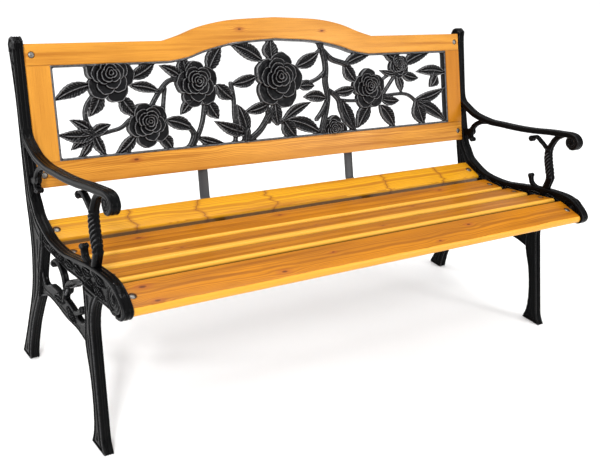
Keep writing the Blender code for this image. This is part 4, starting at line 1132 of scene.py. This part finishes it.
# ---------------------------------------------------------------- timber
def board_outline(width, nose, lower, ease=0.002):
    """Cross-section (across, up) of a slat, top face at 0, its rounder edge at the front."""
    half = width / 2

    def corner(across, up, radius, start, count=7):
        angles = [start + math.pi / 2 * i / count for i in range(count + 1)]
        return [(across + radius * math.cos(a), up + radius * math.sin(a)) for a in angles]

    return (corner(half - ease, -ease, ease, 0) + corner(-half + nose, -nose, nose, math.pi / 2)
            + corner(-half + lower, -TIMBER + lower, lower, math.pi)
            + corner(half - ease, -TIMBER + ease, ease, 1.5 * math.pi))


def bored(board, height=0.0, turn=Matrix.Identity(4)):
    """A board with a recessed bolt hole near each end."""
    hole = turned_mesh("hole", [
        (BOLT_HOLE_R, -TIMBER - 0.01), (BOLT_HOLE_R, -RECESS_DEPTH), (RECESS_R, -RECESS_DEPTH),
        (RECESS_R, -0.0006), (RECESS_R + 0.0012, 0.0006), (RECESS_R + 0.0012, 0.01),
    ], 28)
    return cut(board, hole, [Matrix.Translation((x, 0, height)) @ turn for x in (-BOLT_X, BOLT_X)])


def build_slats(looks):
    for number, (_, _, _, width) in enumerate(SLATS):
        nose, lower = SLAT_NOSE if number else FRONT_SLAT_NOSE
        blank = prism_mesh("slat", board_outline(width, nose, lower), -SLAT_END_X, SLAT_END_X,
                           lambda u, v, w: (w, u, v), 0.0008)
        add_piece(f"slat_{number + 1}", bored(blank), looks[number], f"seat_slat_{number + 1}",
                  on_slat(number), 30)


def eased_board(name, outline, ease):
    """A flat board in the back's frame with every long edge rounded."""
    bm = bmesh.new()
    near = [bm.verts.new((u, 0.0, v)) for u, v in outline]
    far = [bm.verts.new((u, TIMBER, v)) for u, v in outline]
    bm.faces.new(near)
    bm.faces.new(far[::-1])
    for corners in zip(near[1:] + near[:1], near, far, far[1:] + far[:1]):
        bm.faces.new(corners)
    bmesh.ops.recalc_face_normals(bm, faces=bm.faces)
    rims = [e for e in bm.edges if abs(e.verts[0].co.y - e.verts[1].co.y) < 1e-6]
    bmesh.ops.bevel(bm, geom=rims, offset=ease, segments=4, affect="EDGES", clamp_overlap=True)
    return mesh_of(bm, name)


def build_back(looks):
    end, rail_side = SLAT_END_X, OPENING_SIDE
    top = [(-end, rail_side)] + arch(OPENING_ARCH, rail_side, OPENING_RISE)
    top += [(end, rail_side), (end, TOP_SIDE)] + arch(CREST_ARCH, TOP_SIDE, TOP_RISE)[::-1]
    top += [(-end, TOP_SIDE)]
    bottom = [(-end, -BOTTOM_RAIL), (end, -BOTTOM_RAIL), (end, 0), (-end, 0)]
    for (row, height), outline in zip(RAIL_ROWS, (bottom, top)):
        rail = bored(eased_board(f"{row}_rail", outline, RAIL_EASE), height, INTO_BACK)
        add_piece(f"{row}_rail", rail, looks[f"{row}_rail"], f"back_{row}_rail", BACK, 30)
    for label, side in SIDES:
        near, far = sorted((side * OPENING_HALF, side * end))
        low, high = CLEAR, rail_side - CLEAR
        outline = [(near, low), (far, low), (far, high), (near, high)]
        stile = eased_board("stile", outline, STILE_EASE)
        add_piece(f"{label}_stile", stile, looks[f"{label}_stile"], f"back_{label}_stile", BACK, 30)


# ---------------------------------------------------------------- bars and fasteners
def bar_path():
    depth = TIMBER + CLEAR + BAR_THICK / 2
    spots = []
    for number, (_, _, _, width) in enumerate(SLATS):
        for across in (-width / 2 if number else -width / 4, width / 2):
            spots.append(on_slat(number) @ Vector((0, across, -depth)))
    spots += [BACK @ Vector((0, depth, height)) for height in BAR_RISE]
    return [(spot.y, spot.z) for spot in spots]


def eased_path(path, radius=0.006):
    """The path with each bend turned into a short curve."""
    result = [path[0]]
    for a, b, c in zip(path, path[1:], path[2:]):
        a, b, c = Vector(a), Vector(b), Vector(c)
        reach = min(radius, (a - b).length * 0.4, (c - b).length * 0.4)
        first, last = b + (a - b).normalized() * reach, b + (c - b).normalized() * reach
        for i in range(5):
            t = i / 4
            result.append(tuple(first * (1 - t) ** 2 + b * 2 * t * (1 - t) + last * t ** 2))
    return result + [path[-1]]


def build_bar(label, x, look):
    outline = rounded(0, 0, BAR_WIDTH, BAR_THICK, 0.0009, 2)
    bar = sweep_mesh("bar", eased_path(bar_path()), lambda: [(x + a, b) for a, b in outline])
    add_piece(f"{label}_bar", bar, look, f"{label}_support_bar")


def bolt_mesh():
    """A carriage bolt with a domed head and turned thread below, top face of the wood at 0."""
    seat = -RECESS_DEPTH + CLEAR
    end = -(TIMBER + CLEAR + LUG_PLATE + NUT_H + 0.003)
    rings = [(BOLT_R * 0.55, end), (BOLT_R * 0.85, end + 0.0006)]
    z = end + THREAD_PITCH
    while z < -TIMBER * 0.6:
        rings += [(BOLT_R, z), (BOLT_R * 0.86, z + THREAD_PITCH / 2)]
        z += THREAD_PITCH
    rings += [(BOLT_R, z), (BOLT_R, seat), (HEAD_R, seat), (HEAD_R, seat + 0.0005)]
    for i in range(1, 7):
        angle = math.pi / 2 * i / 6
        rings.append((max(HEAD_R * math.cos(angle), 0.0002),
                      seat + 0.0005 + (HEAD_H - 0.0005) * math.sin(angle)))
    return turned_mesh("bolt", rings, 24)


def nut_mesh():
    """A chamfered hexagon nut on its round flange, bearing face at 0."""
    hexagon = ((NUT_R * 0.90, -NUT_H), (NUT_R, -NUT_H + 0.0006), (NUT_R, -0.0015))
    flange = ((NUT_FLANGE_R * 0.92, -0.0022), (NUT_FLANGE_R, -0.0012), (NUT_FLANGE_R, 0.0))
    return loft_mesh("nut", [circle(radius, z, 6) for radius, z in hexagon],
                     [circle(radius, z, 24) for radius, z in flange])


def screw_mesh(cover):
    """A wood screw with a domed, cross-slotted head under a plate."""
    under = -cover - CLEAR
    top = under - SCREW_HEAD_H
    mesh = turned_mesh("screw", [
        (0.0004, top), (SCREW_HEAD_R * 0.5, under - SCREW_HEAD_H * 0.93),
        (SCREW_HEAD_R * 0.85, under - SCREW_HEAD_H * 0.62), (SCREW_HEAD_R, under - 0.0006),
        (SCREW_HEAD_R, under), (SCREW_R, under), (SCREW_R, SCREW_REACH - 0.0025),
        (0.0005, SCREW_REACH),
    ], 20)
    slot = mesh_of(box((SCREW_HEAD_R * 1.1, 0.0008, 0.0022), (0, 0, top)), "slot")
    return cut(mesh, slot, [Matrix.Rotation(turn, 4, "Z") for turn in (0, math.pi / 2)])


def fasteners(look):
    """Bolts and nuts at the ends of the boards, screws in the bars and in the panel's ears."""
    def put(name, mesh, solid, matrix):
        add_piece(name, mesh.copy(), look, solid, matrix, 35)

    bolt, nut = bolt_mesh(), nut_mesh()
    bar_screw, ear_screw = screw_mesh(BAR_THICK), screw_mesh(EAR_THICK)
    to_nut = Matrix.Translation((0, 0, -TIMBER - LUG_PLATE - 2 * CLEAR))
    under = TIMBER + CLEAR
    for label, side in SIDES:
        x = side * BOLT_X
        places = [(f"seat_{number + 1}", on_slat(number, x)) for number in range(len(SLATS))]
        places += [(f"back_{row}", on_back(x, 0.0, height)) for row, height in RAIL_ROWS]
        for name, matrix in places:
            put(f"carriage_bolt_{name}_{label}", bolt, f"bolt_{name}_{label}", matrix)
            put(f"flange_nut_{name}_{label}", nut, f"nut_{name}_{label}", matrix @ to_nut)
    for label, side in SIDES:
        x = side * BAR_X
        places = [on_slat(number, x, under) for number in range(len(SLATS))]
        places.append(on_back(x, under, -BOTTOM_RAIL / 2))
        for count, matrix in enumerate(places, 1):
            put(f"wood_screw_{label}_{count}", bar_screw, f"bar_screw_{label}_{count}", matrix)
    for count, (x, height, out) in enumerate(EARS, 1):
        put(f"ear_screw_{count}", ear_screw, f"panel_screw_{count}",
            on_back(x, under, height + out * EAR_HOLE_AT))


# ---------------------------------------------------------------- studio
def floor():
    bm = bmesh.new()
    bmesh.ops.create_grid(bm, x_segments=8, y_segments=8, size=14.0)
    n = Nodes("pale_floor")
    cloud = n.noise(n.where, 0.8)
    n.put(n.shader.inputs["Base Color"], n.mix(cloud, rgb(0.93, 0.93, 0.93), rgb(0.96, 0.96, 0.96)))
    n.put(n.shader.inputs["Roughness"], 0.9)
    obj = bpy.data.objects.new("floor", mesh_of(bm, "floor"))
    bpy.context.scene.collection.objects.link(obj)
    obj.location = (0, 0, -0.0005)
    obj.data.materials.append(n.material)


def area_light(name, location, target, size, power):
    light = bpy.data.lights.new(name, "AREA")
    light.shape = "RECTANGLE"
    light.size, light.size_y = size
    light.energy = power
    obj = bpy.data.objects.new(name, light)
    obj.location = location
    aim = Vector(target) - Vector(location)
    obj.rotation_mode = "QUATERNION"
    obj.rotation_quaternion = aim.to_track_quat("-Z", "Y")
    bpy.context.scene.collection.objects.link(obj)


def studio():
    scene = bpy.context.scene
    world = bpy.data.worlds.new("studio")
    world.use_nodes = True
    background = world.node_tree.nodes["Background"]
    background.inputs[0].default_value = rgb(1.0, 1.0, 1.0)
    # The backdrop above the floor looks white, but lights the bench only softly.
    path = world.node_tree.nodes.new("ShaderNodeLightPath")
    level = world.node_tree.nodes.new("ShaderNodeMapRange")
    level.inputs["To Min"].default_value = 0.36
    world.node_tree.links.new(path.outputs["Is Camera Ray"], level.inputs["Value"])
    world.node_tree.links.new(level.outputs[0], background.inputs[1])
    scene.world = world
    scene.view_settings.view_transform = "Standard"
    sun = bpy.data.lights.new("sky", "SUN")
    sun.energy = 2.55
    sun.angle = math.radians(125)
    sky = bpy.data.objects.new("sky", sun)
    sky.rotation_euler = (math.radians(18), math.radians(-14), 0)
    scene.collection.objects.link(sky)
    area_light("key", (-2.3, -2.2, 2.3), (0, 0, 0.4), (0.45, 0.45), 70)
    area_light("side", (-2.6, 0.9, 1.5), (-0.3, 0, 0.4), (0.20, 1.6), 14)
    area_light("fill", (2.3, -2.4, 1.4), (0, 0, 0.4), (0.6, 1.4), 30)
    area_light("top", (0.4, 0.6, 2.8), (0, 0, 0.3), (2.4, 0.5), 30)


def camera():
    yaw, pitch, roll = math.radians(38.6), math.radians(23.41), math.radians(7.49)
    right = Vector((math.cos(yaw), -math.sin(yaw), 0))
    forward = Vector((math.sin(yaw) * math.cos(pitch), math.cos(yaw) * math.cos(pitch),
                      -math.sin(pitch)))
    up = right.cross(forward)
    turned_right = math.cos(roll) * right + math.sin(roll) * up
    turned_up = -math.sin(roll) * right + math.cos(roll) * up
    data = bpy.data.cameras.new("camera")
    data.sensor_fit = "HORIZONTAL"
    data.sensor_width = 36.0
    data.lens = 54.79
    data.clip_start, data.clip_end = 0.05, 60.0
    obj = bpy.data.objects.new("camera", data)
    axes = Matrix((turned_right, turned_up, -forward)).transposed().to_4x4()
    obj.matrix_world = Matrix.Translation((-1.265, -1.526, 1.110)) @ axes
    bpy.context.scene.collection.objects.link(obj)
    bpy.context.scene.camera = obj


# ---------------------------------------------------------------- the bench
def slat_looks():
    honey, brown = rgb(0.47, 0.168, 0.004), rgb(0.17, 0.045, 0.001)
    # The paler colours below are painted highlights along the slats' front edges.
    highlight_tint = rgb(0.76, 0.40, 0.050)
    return [
        wood_material("wood_slat_1", 1.3, rgb(0.48, 0.172, 0.004), brown,
                      ((-0.57, 0.018, 0.005), (-0.56, -0.024, 0.004), (-0.28, -0.016, 0.005),
                       (-0.14, 0.012, 0.003), (0.14, -0.018, 0.003), (0.26, 0.016, 0.004)),
                      nose=(-0.034, 0.0030, rgb(0.74, 0.36, 0.04)), open_front=True),
        wood_material("wood_slat_2", 2.7, honey, brown,
                      ((0.06, 0.0, 0.004), (0.32, -0.020, 0.004), (-0.25, -0.018, 0.003)),
                      nose=(-0.0335, 0.0090, highlight_tint)),
        wood_material("wood_slat_3", 4.1, honey, brown,
                      ((-0.43, 0.016, 0.004), (-0.40, 0.004, 0.003), (0.25, 0.018, 0.004),
                       (-0.13, -0.004, 0.002), (-0.06, 0.002, 0.002)),
                      nose=(-0.0335, 0.0150, highlight_tint)),
        wood_material("wood_slat_4", 5.9, honey, brown,
                      ((-0.45, 0.012, 0.005), (-0.09, 0.014, 0.004), (0.42, 0.012, 0.005)),
                      nose=(-0.0335, 0.0070, highlight_tint)),
        wood_material("wood_slat_5", 7.4, rgb(0.62, 0.295, 0.006), rgb(0.30, 0.10, 0.003),
                      joints=(-0.43, -0.26, -0.07, 0.29, 0.48)),
    ]


def back_looks():
    pine, amber = rgb(0.66, 0.300, 0.036), rgb(0.27, 0.078, 0.002)
    boards = {
        "top_rail": (9.2, pine, "back", ((-0.10, 0.262, 0.004), (0.14, 0.255, 0.003))),
        "bottom_rail": (11.8, pine, "back", ((-0.39, -0.012, 0.004), (-0.57, -0.03, 0.003))),
        "left_stile": (13.1, pine, "upright", ()),
        "right_stile": (15.6, rgb(0.50, 0.190, 0.006), "upright", ()),
    }
    return {name: wood_material(f"wood_{name}", seed, light, amber, knots, lie=lie)
            for name, (seed, light, lie, knots) in boards.items()}


def build():
    frame_iron = iron_material("black_painted_iron", 0.0)
    # The panel's lower range paints light grey on more of its ridges: rubbed paint and painted
    # highlight.
    panel_iron = iron_material("panel_iron", 3.7, 4.0, (0.507, 0.558))
    bar_paint, zinc = bar_material(), zinc_material()
    relief = end_relief()
    for label, side in SIDES:
        build_end_frame(label, side, relief, frame_iron)
    build_slats(slat_looks())
    build_back(back_looks())
    build_rose_panel(panel_iron)
    for label, side in SIDES:
        build_bar(label, side * BAR_X, bar_paint)
    fasteners(zinc)


camera()
build()
floor()
studio()
